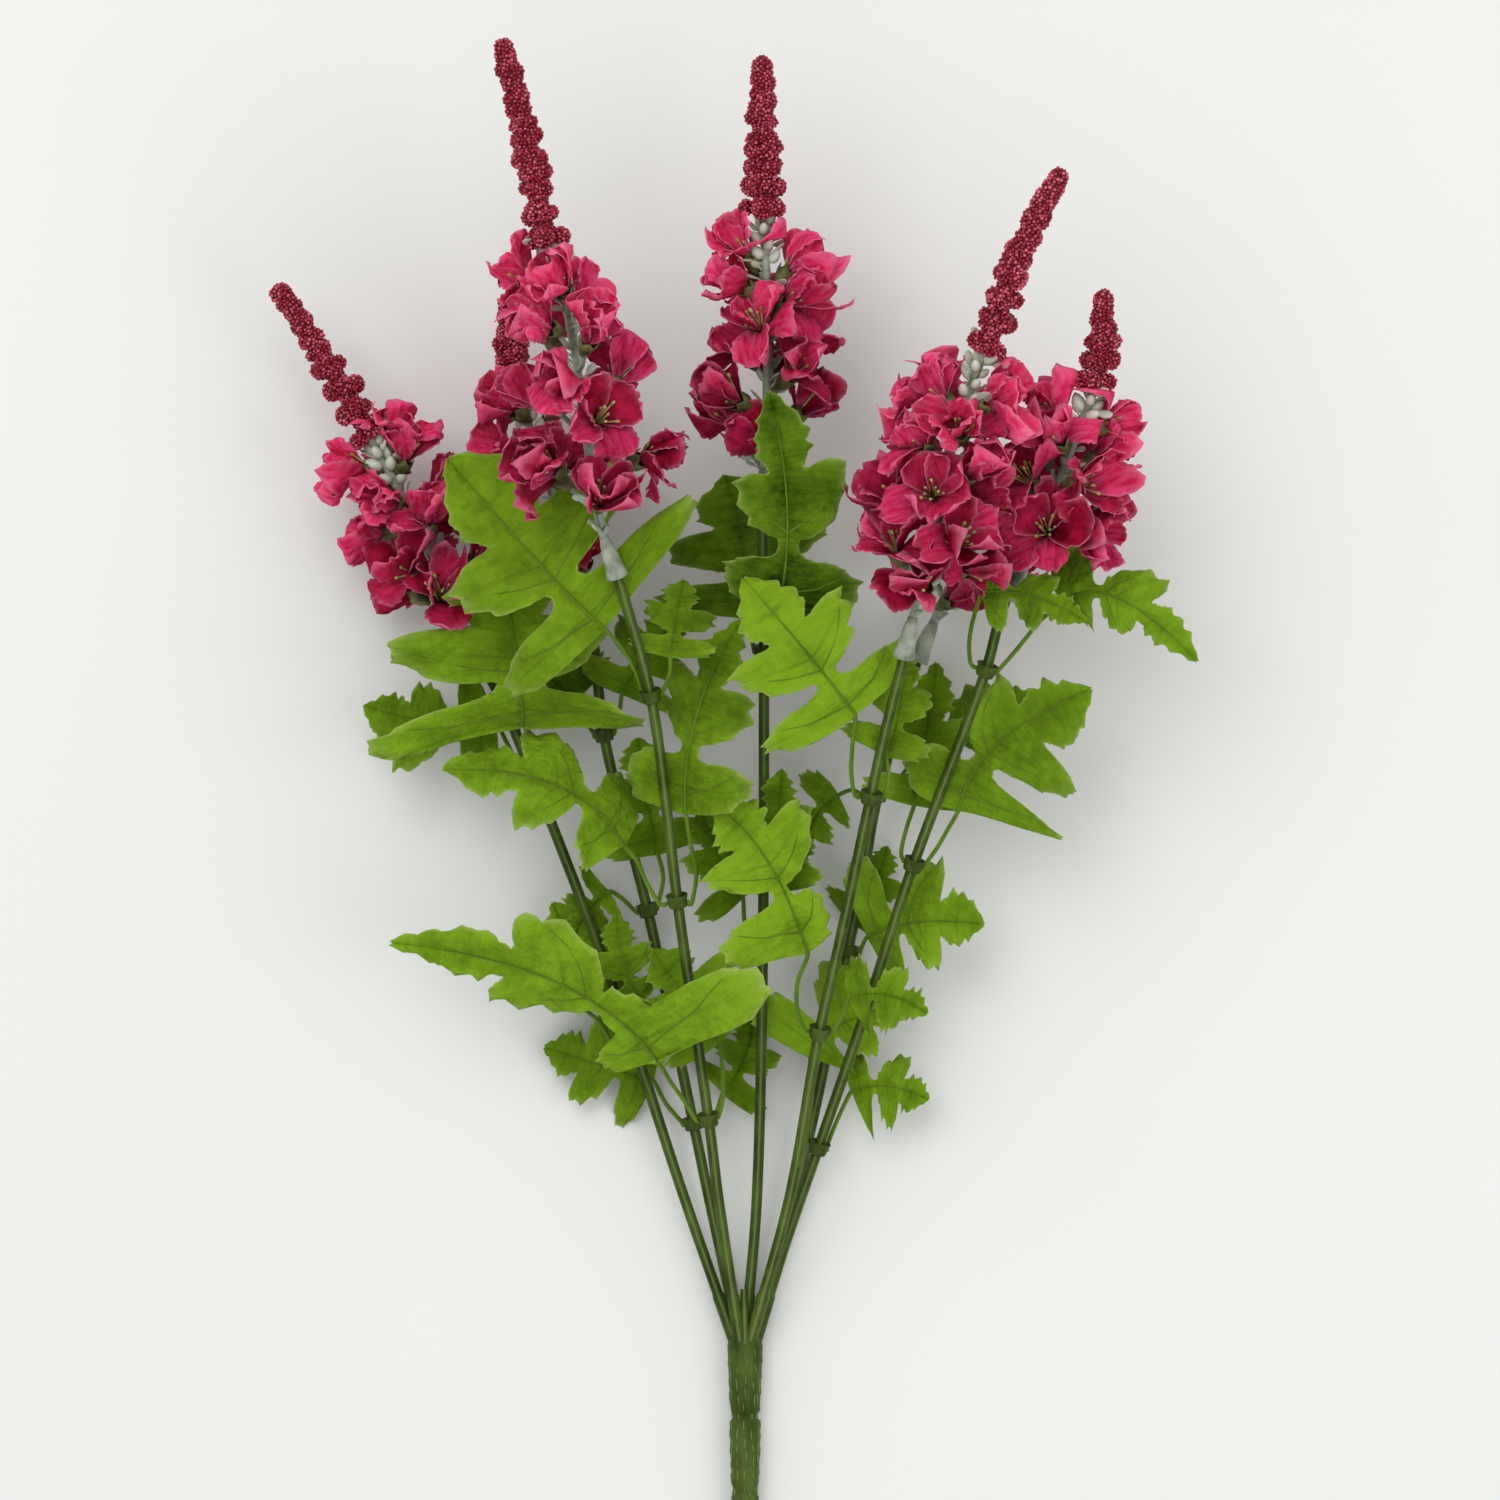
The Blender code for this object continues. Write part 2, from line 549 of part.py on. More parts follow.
def floret(name, spike, place, group):
    """A calyx that opens into a shallow five-petalled cup, lofted from its root to its lobed rim."""
    aim = place["aim"]
    across, up = side_directions(aim)
    throat = place["root"] + aim * (place["reach"] - FLORET_CUP)
    count = 2 * FLORET_PETALS
    full = min(FLORET_RADIUS, FLORET_RADIUS_SHARE * place["reach"])

    def around(centre, angle, radius):
        return centre + (across * math.cos(angle) + up * math.sin(angle)) * radius

    rim = []
    for i in range(count):
        lobe = i % 2 == 0
        angle = place["turn"] + math.tau * i / count
        radius = full * (1 if lobe else FLORET_NOTCH)
        height = FLORET_CUP * (1 if lobe else FLORET_NOTCH_HEIGHT)
        rim.append(petal_point(spike, around(throat + aim * height, angle, radius)))
    bm = bmesh.new()
    root = bm.verts.new(place["root"] * MM)
    middle = bm.verts.new((throat + aim * PETAL_THICKNESS) * MM)
    calyx = []
    for i in range(FLORET_PETALS):
        angle = place["turn"] + math.tau * 2 * i / count
        calyx.append(bm.verts.new(around(throat - aim * PETAL_THICKNESS, angle, CALYX_RADIUS) * MM))
    outer = [bm.verts.new(point * MM) for point in rim]
    inner = [bm.verts.new((point + (throat + aim * 2 * FLORET_CUP - point).normalized() * PETAL_THICKNESS) * MM)
             for point in rim]
    for i in range(FLORET_PETALS):
        here, near = calyx[i], calyx[(i + 1) % FLORET_PETALS]
        lobe, notch, after = outer[2 * i], outer[2 * i + 1], outer[(2 * i + 2) % count]
        bm.faces.new((root, near, here))
        bm.faces.new((here, notch, lobe))
        bm.faces.new((here, near, notch))
        bm.faces.new((near, after, notch))
    for i in range(count):
        j = (i + 1) % count
        bm.faces.new((middle, inner[i], inner[j]))
        bm.faces.new((outer[i], outer[j], inner[j]))
        bm.faces.new((outer[i], inner[j], inner[i]))
    bmesh.ops.recalc_face_normals(bm, faces=bm.faces)
    mesh = bpy.data.meshes.new(name)
    bm.to_mesh(mesh)
    bm.free()
    return add_object(name, mesh, group)


def make_head(spike, group, loose, material):
    """The floral stem with its socket sleeve and its florets."""
    plan = SPIKES[spike]
    foot, direction = socket(spike)
    profile = [(0, 0), (0, SLEEVE_FLARE), (SLEEVE_FLARE_LENGTH, SLEEVE_RADIUS),
               (SLEEVE_LENGTH, FLORAL_RADIUS + SLEEVE_LIP), (SLEEVE_LENGTH, 0)]
    head = turned("head_" + spike, profile[::-1], SLEEVE_SIDES, foot, direction, group)
    heights = spread_values(plan["sleeve"] + SLEEVE_LENGTH, plan["beads"], FLORAL_STEP)
    points = [foot + direction * (BORE_DEPTH + FLORAL_FOOT)] + [route_point(spike, y) for y in heights]
    tube("floral stem", points, [FLORAL_RADIUS] * len(points), loose)
    for k, place in enumerate(floret_places(spike)):
        floret(f"floret {k}", spike, place, loose)
    hole = [(BORE_START, 0), (BORE_START, BORE_RADIUS), (BORE_DEPTH, BORE_RADIUS), (BORE_DEPTH, 0)]
    bore = turned("bore " + spike, hole, SLEEVE_SIDES, foot, direction, cutters)
    bore.hide_render = True
    bore.display_type = "WIRE"
    return fuse(head, loose, material, bore)


def blade_frame(leaf, base_z, tip_z):
    """The midrib as a curve, with the blade's side and face directions along it."""
    base = Vector((*leaf["base"], base_z))
    tip = Vector((*leaf["tip"], tip_z))
    length = (tip - base).length
    middle = Vector((*leaf["middle"], (base_z + tip_z) / 2 + BLADE_ARCH * length))
    pull = 2 * middle - (base + tip) / 2

    def spot(s):
        return base * (1 - s)**2 + pull * 2 * s * (1 - s) + tip * s**2

    def frame(s):
        along = ((pull - base) * (1 - s) + (tip - pull) * s).normalized()
        side = UP.cross(along).normalized()
        face = along.cross(side)
        roll = math.radians(leaf["roll"])
        return side * math.cos(roll) + face * math.sin(roll), face * math.cos(roll) - side * math.sin(roll)

    return spot, frame


def blade_surface(leaf, base_z, tip_z):
    spot, frame = blade_frame(leaf, base_z, tip_z)
    points = []
    normals = []
    for middle, edge, share in BLADE_ROWS:
        side, face = frame(edge)
        narrowed = leaf.get("upper", EVEN_LOBES) if middle > UPPER_LOBES else EVEN_LOBES
        left, right = (max(width * share * part, BLADE_ROOT) for width, part in zip(leaf["widths"], narrowed))
        lift = BLADE_LIFT * share - BLADE_DROOP * share**2
        points.append(spot(edge) + side * left + face * lift)
        points.append(spot(middle))
        points.append(spot(edge) - side * right + face * lift)
        normals += [face] * 3
    faces = []
    for row in range(len(BLADE_ROWS) - 1):
        a = 3 * row
        faces += [(a, a + 1, a + 3), (a + 1, a + 4, a + 3), (a + 1, a + 2, a + 5), (a + 1, a + 5, a + 4)]
    return points, faces, normals


def petiole_points(pair, leaf, base_z, tip_z):
    """From the collar's wall up to the blade, then along the first part of its midrib."""
    centre = route_point(pair["spike"], pair["y"])
    direction = route_direction(pair["spike"], pair["y"])
    first = leaf["petiole"][0]
    outward = Vector((first[0] - centre.x, first[1] - centre.y, 0))
    outward = (outward - direction * outward.dot(direction)).normalized()
    start = centre + outward * (COLLAR_BORE + PETIOLE_RADIUS) + direction * COLLAR_HEIGHT * PETIOLE_START
    spot = blade_frame(leaf, base_z, tip_z)[0]
    path = [start]
    count = len(leaf["petiole"])
    for i, (x, y) in enumerate(leaf["petiole"]):
        share = ((i + 1) / (count + 1))**PETIOLE_CURVE
        path.append(Vector((x, y, start.z + (base_z - start.z) * share)))
    return path + [spot(0), spot(PETIOLE_IN_BLADE)]


def tree_of(points, faces):
    return BVHTree.FromPolygons(points, faces)


def object_tree(obj):
    mesh = obj.data
    points = [vert.co / MM for vert in mesh.vertices]
    return tree_of(points, [tuple(face.vertices) for face in mesh.polygons])


def square_tube(path, radii):
    points = []
    faces = []
    for i, place in enumerate(path):
        ahead = path[min(i + 1, len(path) - 1)] - path[max(i - 1, 0)]
        across, up = side_directions(ahead.normalized())
        points += [place + (across * x + up * y) * radii[i] for x, y in ((1, 0), (0, 1), (-1, 0), (0, -1))]
    for i in range(len(path) - 1):
        for j in range(4):
            a = 4 * i + j
            b = 4 * i + (j + 1) % 4
            faces.append((a, b, b + 4, a + 4))
    return points, faces


def is_clear(pair, leaf, base_z, tip_z, obstacles):
    points, faces, normals = blade_surface(leaf, base_z, tip_z)
    if min(point.z for point in points) < BLADE_LOWEST:
        return False
    path = petiole_points(pair, leaf, base_z, tip_z)
    if min(point.z for point in path) < PETIOLE_LOWEST:
        return False
    radii = [PETIOLE_RADIUS + GAP / 2] + [PETIOLE_RADIUS + PETIOLE_CLEARANCE] * (len(path) - 1)
    shapes = [square_tube(path, radii)]
    for offset in (BLADE_CLEARANCE, -BLADE_CLEARANCE):
        shapes.append(([point + normal * offset for point, normal in zip(points, normals)], faces))
    for shape_points, shape_faces in shapes:
        tree = tree_of(shape_points, shape_faces)
        if any(tree.overlap(obstacle) for obstacle in obstacles):
            return False
    return True


def settle_leaf(pair, leaf, obstacles):
    """The heights of the blade's base and tip: the wanted ones, moved as little as clears the rest."""
    stem_z = route_point(pair["spike"], pair["y"]).z
    choices = [(base, tip) for base in BASE_LIFTS for tip in BLADE_LIFTS]
    choices.sort(key=lambda choice: abs(choice[0]) + TIP_LIFT_COST * abs(choice[1]))
    for base, tip in choices:
        base_z = stem_z + leaf["rise"][0] + base
        tip_z = stem_z + leaf["rise"][1] + base + tip
        if is_clear(pair, leaf, base_z, tip_z, obstacles):
            return base_z, tip_z
    return None


def make_leaf_pair(name, pair, group, loose, material, obstacles):
    """A collar round the stem with two petioles and their blades."""
    centre = route_point(pair["spike"], pair["y"])
    direction = route_direction(pair["spike"], pair["y"])
    ring = [(0, COLLAR_BORE), (0, COLLAR_FOOT), (COLLAR_HEIGHT, COLLAR_RIM), (COLLAR_HEIGHT, COLLAR_BORE),
            (0, COLLAR_BORE)]
    collar = turned("leaves_" + name, ring, COLLAR_SIDES, centre, direction, group)
    obstacles.append(object_tree(collar))
    for k, leaf in enumerate(pair["leaves"]):
        settled = settle_leaf(pair, leaf, obstacles[:-1])
        if settled is None:
            print("no clear place for leaf", name, k)
            continue
        points, faces, normals = blade_surface(leaf, *settled)
        sheet(f"blade {k}", points, faces, BLADE_THICKNESS, loose)
        path = petiole_points(pair, leaf, *settled)
        radii = [PETIOLE_RADIUS] * (len(path) - 2) + [PETIOLE_SHOULDER, PETIOLE_RADIUS]
        tube(f"petiole {k}", path, radii, loose, 0)
        obstacles.insert(0, tree_of(points, faces))
        obstacles.insert(0, tree_of(*square_tube(path, radii)))
    return fuse(collar, loose, material)


clear_scene()
bush = new_collection("artificial delphinium bush")
cutters = new_collection("cutters")
loose_pieces = new_collection("pieces to fuse")
finishes = {name: make_material(name) for name in MATERIALS}

stems = make_stems(bush, loose_pieces, finishes["stem plastic"])
taken = [object_tree(stems)]
for spike_name in SPIKES:
    flower_head = make_head(spike_name, bush, loose_pieces, finishes["petal fabric"])
    bead_tip = make_beads(spike_name, bush, finishes["bead coat"])
    taken += [object_tree(flower_head), object_tree(bead_tip)]
for pair_name, leaf_pair in LEAF_PAIRS.items():
    make_leaf_pair(pair_name, leaf_pair, bush, loose_pieces, finishes["leaf fabric"], taken)
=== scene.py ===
import math
import random

import bpy
import numpy as np
from mathutils import Matrix, Vector
from mathutils.bvhtree import BVHTree


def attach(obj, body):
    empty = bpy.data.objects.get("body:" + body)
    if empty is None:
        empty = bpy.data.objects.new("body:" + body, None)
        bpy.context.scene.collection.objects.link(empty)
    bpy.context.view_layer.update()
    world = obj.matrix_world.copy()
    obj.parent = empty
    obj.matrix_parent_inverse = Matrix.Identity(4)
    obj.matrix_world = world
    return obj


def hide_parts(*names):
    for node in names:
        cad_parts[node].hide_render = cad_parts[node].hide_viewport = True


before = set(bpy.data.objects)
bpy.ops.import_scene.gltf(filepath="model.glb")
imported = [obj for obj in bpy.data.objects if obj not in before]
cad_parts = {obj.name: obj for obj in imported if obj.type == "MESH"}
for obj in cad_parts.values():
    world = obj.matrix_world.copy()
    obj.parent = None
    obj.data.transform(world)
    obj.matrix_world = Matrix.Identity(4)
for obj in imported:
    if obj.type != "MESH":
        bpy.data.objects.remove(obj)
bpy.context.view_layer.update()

# An artificial delphinium bush on its back. Lengths are in millimetres until a mesh is made.
mm = 0.001
up = Vector((0, 0, 1))
goldenAngle = math.radians(137.5)

# route: points of a spike's centre line. sleeve and beads: the Y of its two joints. crown: of its last peg.
# florets: how many. reach: how far they stand out. parted: the top two stand aside. turned: to this angle.
spikes = {
    "a": {"route": [(0.2, -207, 7), (-19, -152, 12), (-36.4, -99, 17), (-53, -52, 22), (-75.7, 7, 28),
                    (-89.5, 41, 32), (-96.4, 54, 34), (-112.6, 87, 37), (-126, 116, 40),
                    (-141.5, 145, 42), (-151, 162, 43), (-177, 202, 44)],
          "sleeve": 53, "beads": 141, "crown": 131, "florets": 13, "reach": 31, "parted": True},
    "b": {"route": [(2.5, -207, 11), (-5.6, -152, 24), (-9, -124, 31), (-21, -39, 54), (-31, 40, 77),
                    (-42.5, 83, 90), (-51, 110, 98), (-57.6, 156, 110), (-62.6, 187, 116),
                    (-69.5, 210, 120), (-73, 226, 122), (-78, 252, 125), (-88, 293, 128)],
          "sleeve": 88, "beads": 214, "crown": 192, "florets": 15, "reach": 36, "turned": {10: 62, 11: 128}},
    "c": {"route": [(2.5, -207, 3), (-9.4, -152, 8), (-14.8, -126, 10), (-32.5, -43, 19), (-49.5, 25, 27),
                    (-54, 64, 31), (-60.6, 95, 33), (-74, 133, 34), (-83.7, 164, 34), (-87.6, 198, 32)],
          "sleeve": 66, "beads": 160, "crown": 146, "florets": 9, "reach": 30},
    "d": {"route": [(4.8, -207, 7), (9.4, -152, 16), (11.7, -54, 33), (12.1, 57, 54), (11.7, 125, 66),
                    (13.7, 175, 74), (12.5, 214, 78), (11.7, 233, 80), (11.4, 288, 84)],
          "sleeve": 112, "beads": 226, "crown": 202, "florets": 14, "reach": 30, "parted": True},
    "e": {"route": [(7.1, -207, 11), (22, -152, 28), (33, -90, 48), (41.4, -52, 60), (52.6, 1, 78),
                    (58.7, 29, 88), (65.6, 57, 98), (74, 95, 110), (81.8, 133, 120), (90.7, 160, 127),
                    (97.2, 176, 130), (108.8, 210, 136), (126, 243, 141)],
          "sleeve": 57, "beads": 172, "crown": 148, "florets": 17, "reach": 34, "parted": True},
    "f": {"route": [(7.1, -207, 3), (26, -144, 8), (39.5, -82, 13), (49.9, -31, 18), (56.8, 6, 22),
                    (71.4, 56, 29), (81.8, 79, 31), (93.4, 102, 32), (104, 125, 32), (116.5, 142, 31)],
          "sleeve": 56, "beads": 122, "crown": 108, "florets": 7, "reach": 27},
    "g": {"route": [(9.4, -207, 7), (20.2, -171, 15), (32.5, -135, 23), (53, -75, 38), (69, -25, 51),
                    (96.8, 50, 72), (104.9, 79, 80), (116.5, 102, 85), (129.9, 137, 91), (139.6, 164, 94),
                    (142.6, 198, 96)],
          "sleeve": 80, "beads": 160, "crown": 141, "florets": 11, "reach": 31, "parted": True},
}


def newLeaf(petiole, base, middle, tip, widths, rise, roll=0, **more):
    # petiole points; the blade's base, middle and tip from above; half widths left and right; the wanted
    # height of its base and tip above the stem; roll in degrees; what narrows some of its lobes
    return {"petiole": petiole, "base": base, "middle": middle, "tip": tip, "widths": widths, "rise": rise,
            "roll": roll, **more}


# tones: how light the two leaves of a pair are
leafPairs = {
    "a1": {"spike": "a", "y": -99, "tones": (0.6, 0.4), "leaves": [
        newLeaf([(-42, -98), (-47, -92), (-52, -84)], (-59, -78), (-61, -60), (-70, -38), (16, 26), (-4, -6),
                roll=15),
        newLeaf([(-33, -92), (-32, -84)], (-35, -76), (-42, -62), (-45, -42), (15, 15), (10, 18), roll=10)]},
    "a2": {"spike": "a", "y": 7, "tones": (0.5, 0.3), "leaves": [
        newLeaf([(-73, 14), (-75, 24)], (-81, 31), (-83.5, 58), (-90, 101), (58, 44), (10, 22)),
        newLeaf([(-84, 17), (-89, 27)], (-92, 34), (-117, 33), (-143, 39), (26, 20), (-4, -8), roll=20)]},
    "b1": {"spike": "b", "y": -124, "tones": (0.75, 0.5), "leaves": [
        newLeaf([(-14, -122), (-19, -114), (-24, -107)], (-27, -102), (-66, -69), (-131, -53), (20, 62),
                (12, 22), roll=-25, upper=(1, 0.5), slim=0.62),
        newLeaf([(-4, -114), (-4, -102)], (-5, -92), (-17, -76), (-31, -56), (20, 28), (-6, -14), roll=10)]},
    "b2": {"spike": "b", "y": -39, "tones": (0.6, 0.3), "leaves": [
        newLeaf([(-28, -38), (-33, -30), (-37, -21)], (-42, -15), (-68, 8), (-111, 14), (26, 34), (10, 16),
                roll=40),
        newLeaf([(-16, -38), (-14, -26), (-16, -16)], (-18, -3), (-14, 34), (3, 71), (24, 26), (8, 18),
                roll=-35)]},
    "b3": {"spike": "b", "y": 40, "tones": (0.62, 0.25), "leaves": [
        newLeaf([(-37, 51), (-42, 60)], (-49, 68), (-74, 93), (-109, 133), (40, 56), (14, 26), roll=5),
        newLeaf([(-26, 46), (-24, 52)], (-24, 57), (-22, 71), (-19, 87), (15, 17), (2, -8), roll=-5)]},
    "c1": {"spike": "c", "y": -126, "tones": (0.35, 0.2), "leaves": [
        newLeaf([(-20, -123), (-26, -116)], (-31, -107), (-51, -101), (-73, -94), (20, 22), (-2, -4)),
        newLeaf([(-9, -124), (-6, -118)], (-4, -112), (4, -99), (8, -82), (16, 16), (-2, -4))]},
    "c2": {"spike": "c", "y": -43, "tones": (0.3, 0.35), "leaves": [
        newLeaf([(-38, -41), (-43, -36)], (-48, -33), (-55, -40), (-61, -50), (12, 13), (3, 0)),
        newLeaf([(-29, -38), (-27, -28)], (-29, -19), (-33, 4), (-37, 26), (20, 20), (3, 8))]},
    "c3": {"spike": "c", "y": 25, "tones": (0.2, 0.3), "leaves": [
        newLeaf([(-54, 28), (-58, 34)], (-61, 40), (-76, 54), (-96, 66), (20, 20), (-3, -10)),
        newLeaf([(-46, 28), (-44, 36)], (-43, 43), (-34, 58), (-20, 74), (20, 22), (4, 10))]},
    "d1": {"spike": "d", "y": -54, "tones": (0.3, 0.25), "leaves": [
        newLeaf([(7, -52), (4.5, -45)], (4, -36), (-4, -22), (-13, 0), (18, 20), (0, 2), roll=10),
        newLeaf([(16, -50), (19, -42)], (20, -33), (18, -10), (19, 14), (16, 16), (3, 4), roll=-20)]},
    # d2's tones under zero paint both its leaves darker: partly painted shade
    "d2": {"spike": "d", "y": 57, "tones": (-0.15, -0.1), "leaves": [
        newLeaf([(15, 62), (16, 68)], (17, 74), (21, 113), (14, 158), (22, 28), (33, 62)),
        newLeaf([(8, 61), (7, 67)], (6, 72), (4, 98), (-3, 128), (34, 40), (-6, -26))]},
    "e1": {"spike": "e", "y": -90, "tones": (0.9, 0.4), "leaves": [
        newLeaf([(28, -87), (25, -79), (25, -68)], (29, -57), (14, -22), (-6, 0), (30, 28), (12, 22),
                lower=(1, 0.42)),
        newLeaf([(38, -88), (42, -81)], (45, -74), (59, -73), (75, -80), (14, 16), (4, 2))]},
    "e2": {"spike": "e", "y": 1, "tones": (0.95, 0.4), "leaves": [
        newLeaf([(47, 4), (45.5, 13), (46, 24)], (47, 35), (30, 57), (4.5, 87), (34, 30), (12, 14)),
        newLeaf([(58, 4), (60, 11)], (59, 19), (64, 38), (65, 60), (19, 16), (6, -2), roll=15)]},
    "f1": {"spike": "f", "y": -59, "tones": (0.65, 0.3), "leaves": [
        newLeaf([(49, -58), (50, -55)], (52, -51), (72, -45), (97, -46), (28, 22), (12, 24)),
        newLeaf([(41, -55), (42, -50)], (45, -45), (54, -32), (60, -16), (14, 14), (-3, -6))]},
    "f2": {"spike": "f", "y": 2, "tones": (0.3, 0.45), "leaves": [
        newLeaf([(51, 4), (46, 6)], (41, 4), (31, -6), (25, -24), (12, 14), (0, 0)),
        newLeaf([(61, 6), (65, 11)], (69, 16), (92, 32), (122, 42), (16, 16), (2, 4))]},
    "g1": {"spike": "g", "y": -135, "tones": (0.8, 0.5), "leaves": [
        newLeaf([(29, -130), (30, -118), (31, -108)], (30, -98), (44, -84), (72, -76), (30, 20), (4, -4)),
        newLeaf([(37, -131), (41, -121)], (46, -111), (60, -109), (76, -114), (15, 19), (6, 8))]},
    "g2": {"spike": "g", "y": -25, "tones": (0.3, 0.38), "leaves": [
        newLeaf([(65, -18), (67, -9)], (70, 0), (74, 22), (79, 55), (20, 20), (-4, -10)),
        newLeaf([(74, -23), (79, -16), (83, -9)], (87, -2), (103, 25), (138, 45), (24, 40), (8, 12))]},
    "g3": {"spike": "g", "y": 50, "tones": (0.4, 0.55), "leaves": [
        newLeaf([(91.5, 55), (91, 64), (93, 74)], (96, 82), (114, 81), (135, 71), (12, 15), (14, 26)),
        newLeaf([(102, 52), (109, 60), (119, 72)], (127, 78), (148, 80), (178, 56), (18, 14), (8, 10))]},
}


# Node and colour helpers

def tint(red, green, blue):
    return (*(((c / 255 + 0.055) / 1.055) ** 2.4 for c in (red, green, blue)), 1)


def addNode(tree, kind, settings=None, inputs=None):
    node = tree.nodes.new(kind)
    for key, value in (settings or {}).items():
        setattr(node, key, value)
    for key, value in (inputs or {}).items():
        if isinstance(value, bpy.types.NodeSocket):
            tree.links.new(value, node.inputs[key])
        else:
            node.inputs[key].default_value = value
    return node


def mathNode(tree, operation, first, second=0.0):
    return addNode(tree, "ShaderNodeMath", {"operation": operation}, {0: first, 1: second}).outputs[0]


def weighted(tree, *parts):
    # the sum of (value, weight) parts
    shares = [mathNode(tree, "MULTIPLY", *part) for part in parts]
    total = shares[0]
    for share in shares[1:]:
        total = mathNode(tree, "ADD", total, share)
    return total


def mixColours(tree, factor, first, second):
    return addNode(tree, "ShaderNodeMix", {"data_type": "RGBA"}, {0: factor, 6: first, 7: second}).outputs[2]


def mapRange(tree, value, low, high, start=0.0, end=1.0):
    return addNode(tree, "ShaderNodeMapRange", None, {"Value": value, "From Min": low, "From Max": high,
                                                      "To Min": start, "To Max": end}).outputs[0]


def noiseValue(tree, place, scale, detail=2.0, low=0.35, high=0.65):
    noise = addNode(tree, "ShaderNodeTexNoise", None, {"Vector": place, "Scale": scale, "Detail": detail})
    return mapRange(tree, noise.outputs[0], low, high)


def stretched(tree, place, scale):
    return addNode(tree, "ShaderNodeMapping", None, {"Vector": place, "Scale": scale}).outputs[0]


def attributeValue(tree, name):
    return addNode(tree, "ShaderNodeAttribute", {"attribute_name": name}).outputs["Fac"]


def overlay(tree, colour, name, power, weight, other):
    # the other colour where the points' own value of this name is high
    value = mathNode(tree, "POWER", attributeValue(tree, name), power)
    return mixColours(tree, mathNode(tree, "MULTIPLY", value, weight), colour, other)


def clothPlace(tree):
    # the place on the flat cloth, in millimetres
    return addNode(tree, "ShaderNodeUVMap", {"uv_map": "cloth"}).outputs[0]


def threads(tree, pitch):
    # crossing threads of a plain weave
    bands = [addNode(tree, "ShaderNodeTexWave", {"bands_direction": way},
                     {"Vector": clothPlace(tree), "Scale": 1 / pitch / 3}).outputs["Fac"] for way in "XY"]
    return mathNode(tree, "MULTIPLY", *bands)


def newFinish(name, look):
    material = bpy.data.materials.new(name)
    material.use_nodes = True
    tree = material.node_tree
    shader = tree.nodes["Principled BSDF"]
    shader.inputs["Roughness"].default_value = look["roughness"]
    shader.inputs["Coat Weight"].default_value = look.get("coat", 0.0)
    shader.inputs["Specular IOR Level"].default_value = look.get("gloss", 0.5)
    return material, tree, shader, addNode(tree, "ShaderNodeTexCoord").outputs["Object"]


def dress(tree, shader, colour, height, relief):
    # relief: how strong the bump is, and how deep in millimetres
    strength, depth = relief
    tree.links.new(colour, shader.inputs["Base Color"])
    bump = addNode(tree, "ShaderNodeBump", None,
                   {"Height": height, "Strength": strength, "Distance": depth * mm})
    tree.links.new(bump.outputs[0], shader.inputs["Normal"])


def letLightIn(shader, weight, reach, depth):
    # a little light passes through the cloth
    shader.inputs["Subsurface Weight"].default_value = weight
    shader.inputs["Subsurface Radius"].default_value = reach
    shader.inputs["Subsurface Scale"].default_value = depth * mm


# Finishes. A share says how much one thing adds to how light the colour is.

petalLook = {
    # the throat colour is painted shade at the petals' base
    "deep": tint(108, 0, 18), "bright": tint(232, 42, 98), "throat": tint(60, 0, 6),
    "edge": tint(246, 140, 172), "streak": tint(248, 126, 168), "roughness": 0.8, "gloss": 0.02,
    "toneShare": 0.72, "blotchShare": 0.38, "blotch": 130, "throatShadeFade": (0.0, 0.5, 0.75, 0.0),
    "streakStretch": (0.6, 0.09, 1.0), "streakShare": 0.55, "rim": (14.0, 0.5), "thread": 0.45,
    "weave": 0.2, "crease": 260, "relief": (0.8, 0.7), "lightIn": (0.18, (1.0, 0.25, 0.4), 1.2),
}
leafLook = {
    "deep": tint(26, 54, 2), "bright": tint(126, 164, 32), "vein": tint(52, 80, 10),
    "edge": tint(184, 200, 118), "back": tint(80, 108, 20), "roughness": 0.66, "gloss": 0.03, "blotch": 62,
    "grain": 240, "crease": 120, "streakStretch": (0.1, 0.75, 1.0), "toneShare": 0.57, "blotchShare": 0.25,
    "grainShare": 0.12, "streakShare": 0.12, "edgeShare": 0.24, "edgePower": 0.7, "underside": (1.0, 0.6),
    "veins": (2.0, 0.45), "rim": (20.0, 0.5), "thread": 0.5, "weave": 0.12, "grainRelief": 0.3,
    "relief": (0.8, 1.0), "lightIn": (0.15, (0.5, 1.0, 0.1), 1.2),
}
plasticLook = {
    "roughness": 0.45, "gloss": 0.12, "stretch": (420, 40, 420), "streakShare": 0.35, "blotch": 60,
    "blotchShare": 0.45, "highlightMix": (1.0, 0.5), "relief": (0.25, 0.1),
}
# the third colour of the stem and rib plastics is a painted highlight along their marked lines
stemLook = {**plasticLook, "dark": tint(38, 54, 4), "light": tint(86, 106, 40), "facet": tint(126, 146, 84)}
ribLook = {
    **plasticLook, "dark": tint(70, 98, 16), "light": tint(104, 136, 36), "facet": tint(122, 152, 60),
    "roughness": 0.5,
}
sageLook = {
    "dark": tint(92, 102, 78), "light": tint(170, 178, 160), "bud": tint(206, 210, 194), "roughness": 0.5,
    "coat": 0.15, "blotch": 150, "blotchShare": 0.8, "least": 0.1, "buds": (1.0, 0.85), "grain": 700,
    "relief": (0.3, 0.15),
}
calyxLook = {"dark": tint(50, 54, 16), "light": tint(108, 106, 56), "roughness": 0.6, "blotch": 240}
stamenLook = {"dark": tint(122, 118, 52), "light": tint(196, 192, 124), "roughness": 0.55, "blotch": 300}
beadLook = {
    "gap": tint(84, 0, 14), "deep": tint(142, 14, 38), "bright": tint(222, 112, 134), "roughness": 0.5,
    "coat": 0.03, "gloss": 0.12, "toneShare": 0.75, "tonePower": 3.0, "blotch": 110, "blotchShare": 0.2,
    "gapTone": 0.06, "grain": 900, "relief": (0.2, 0.08),
}


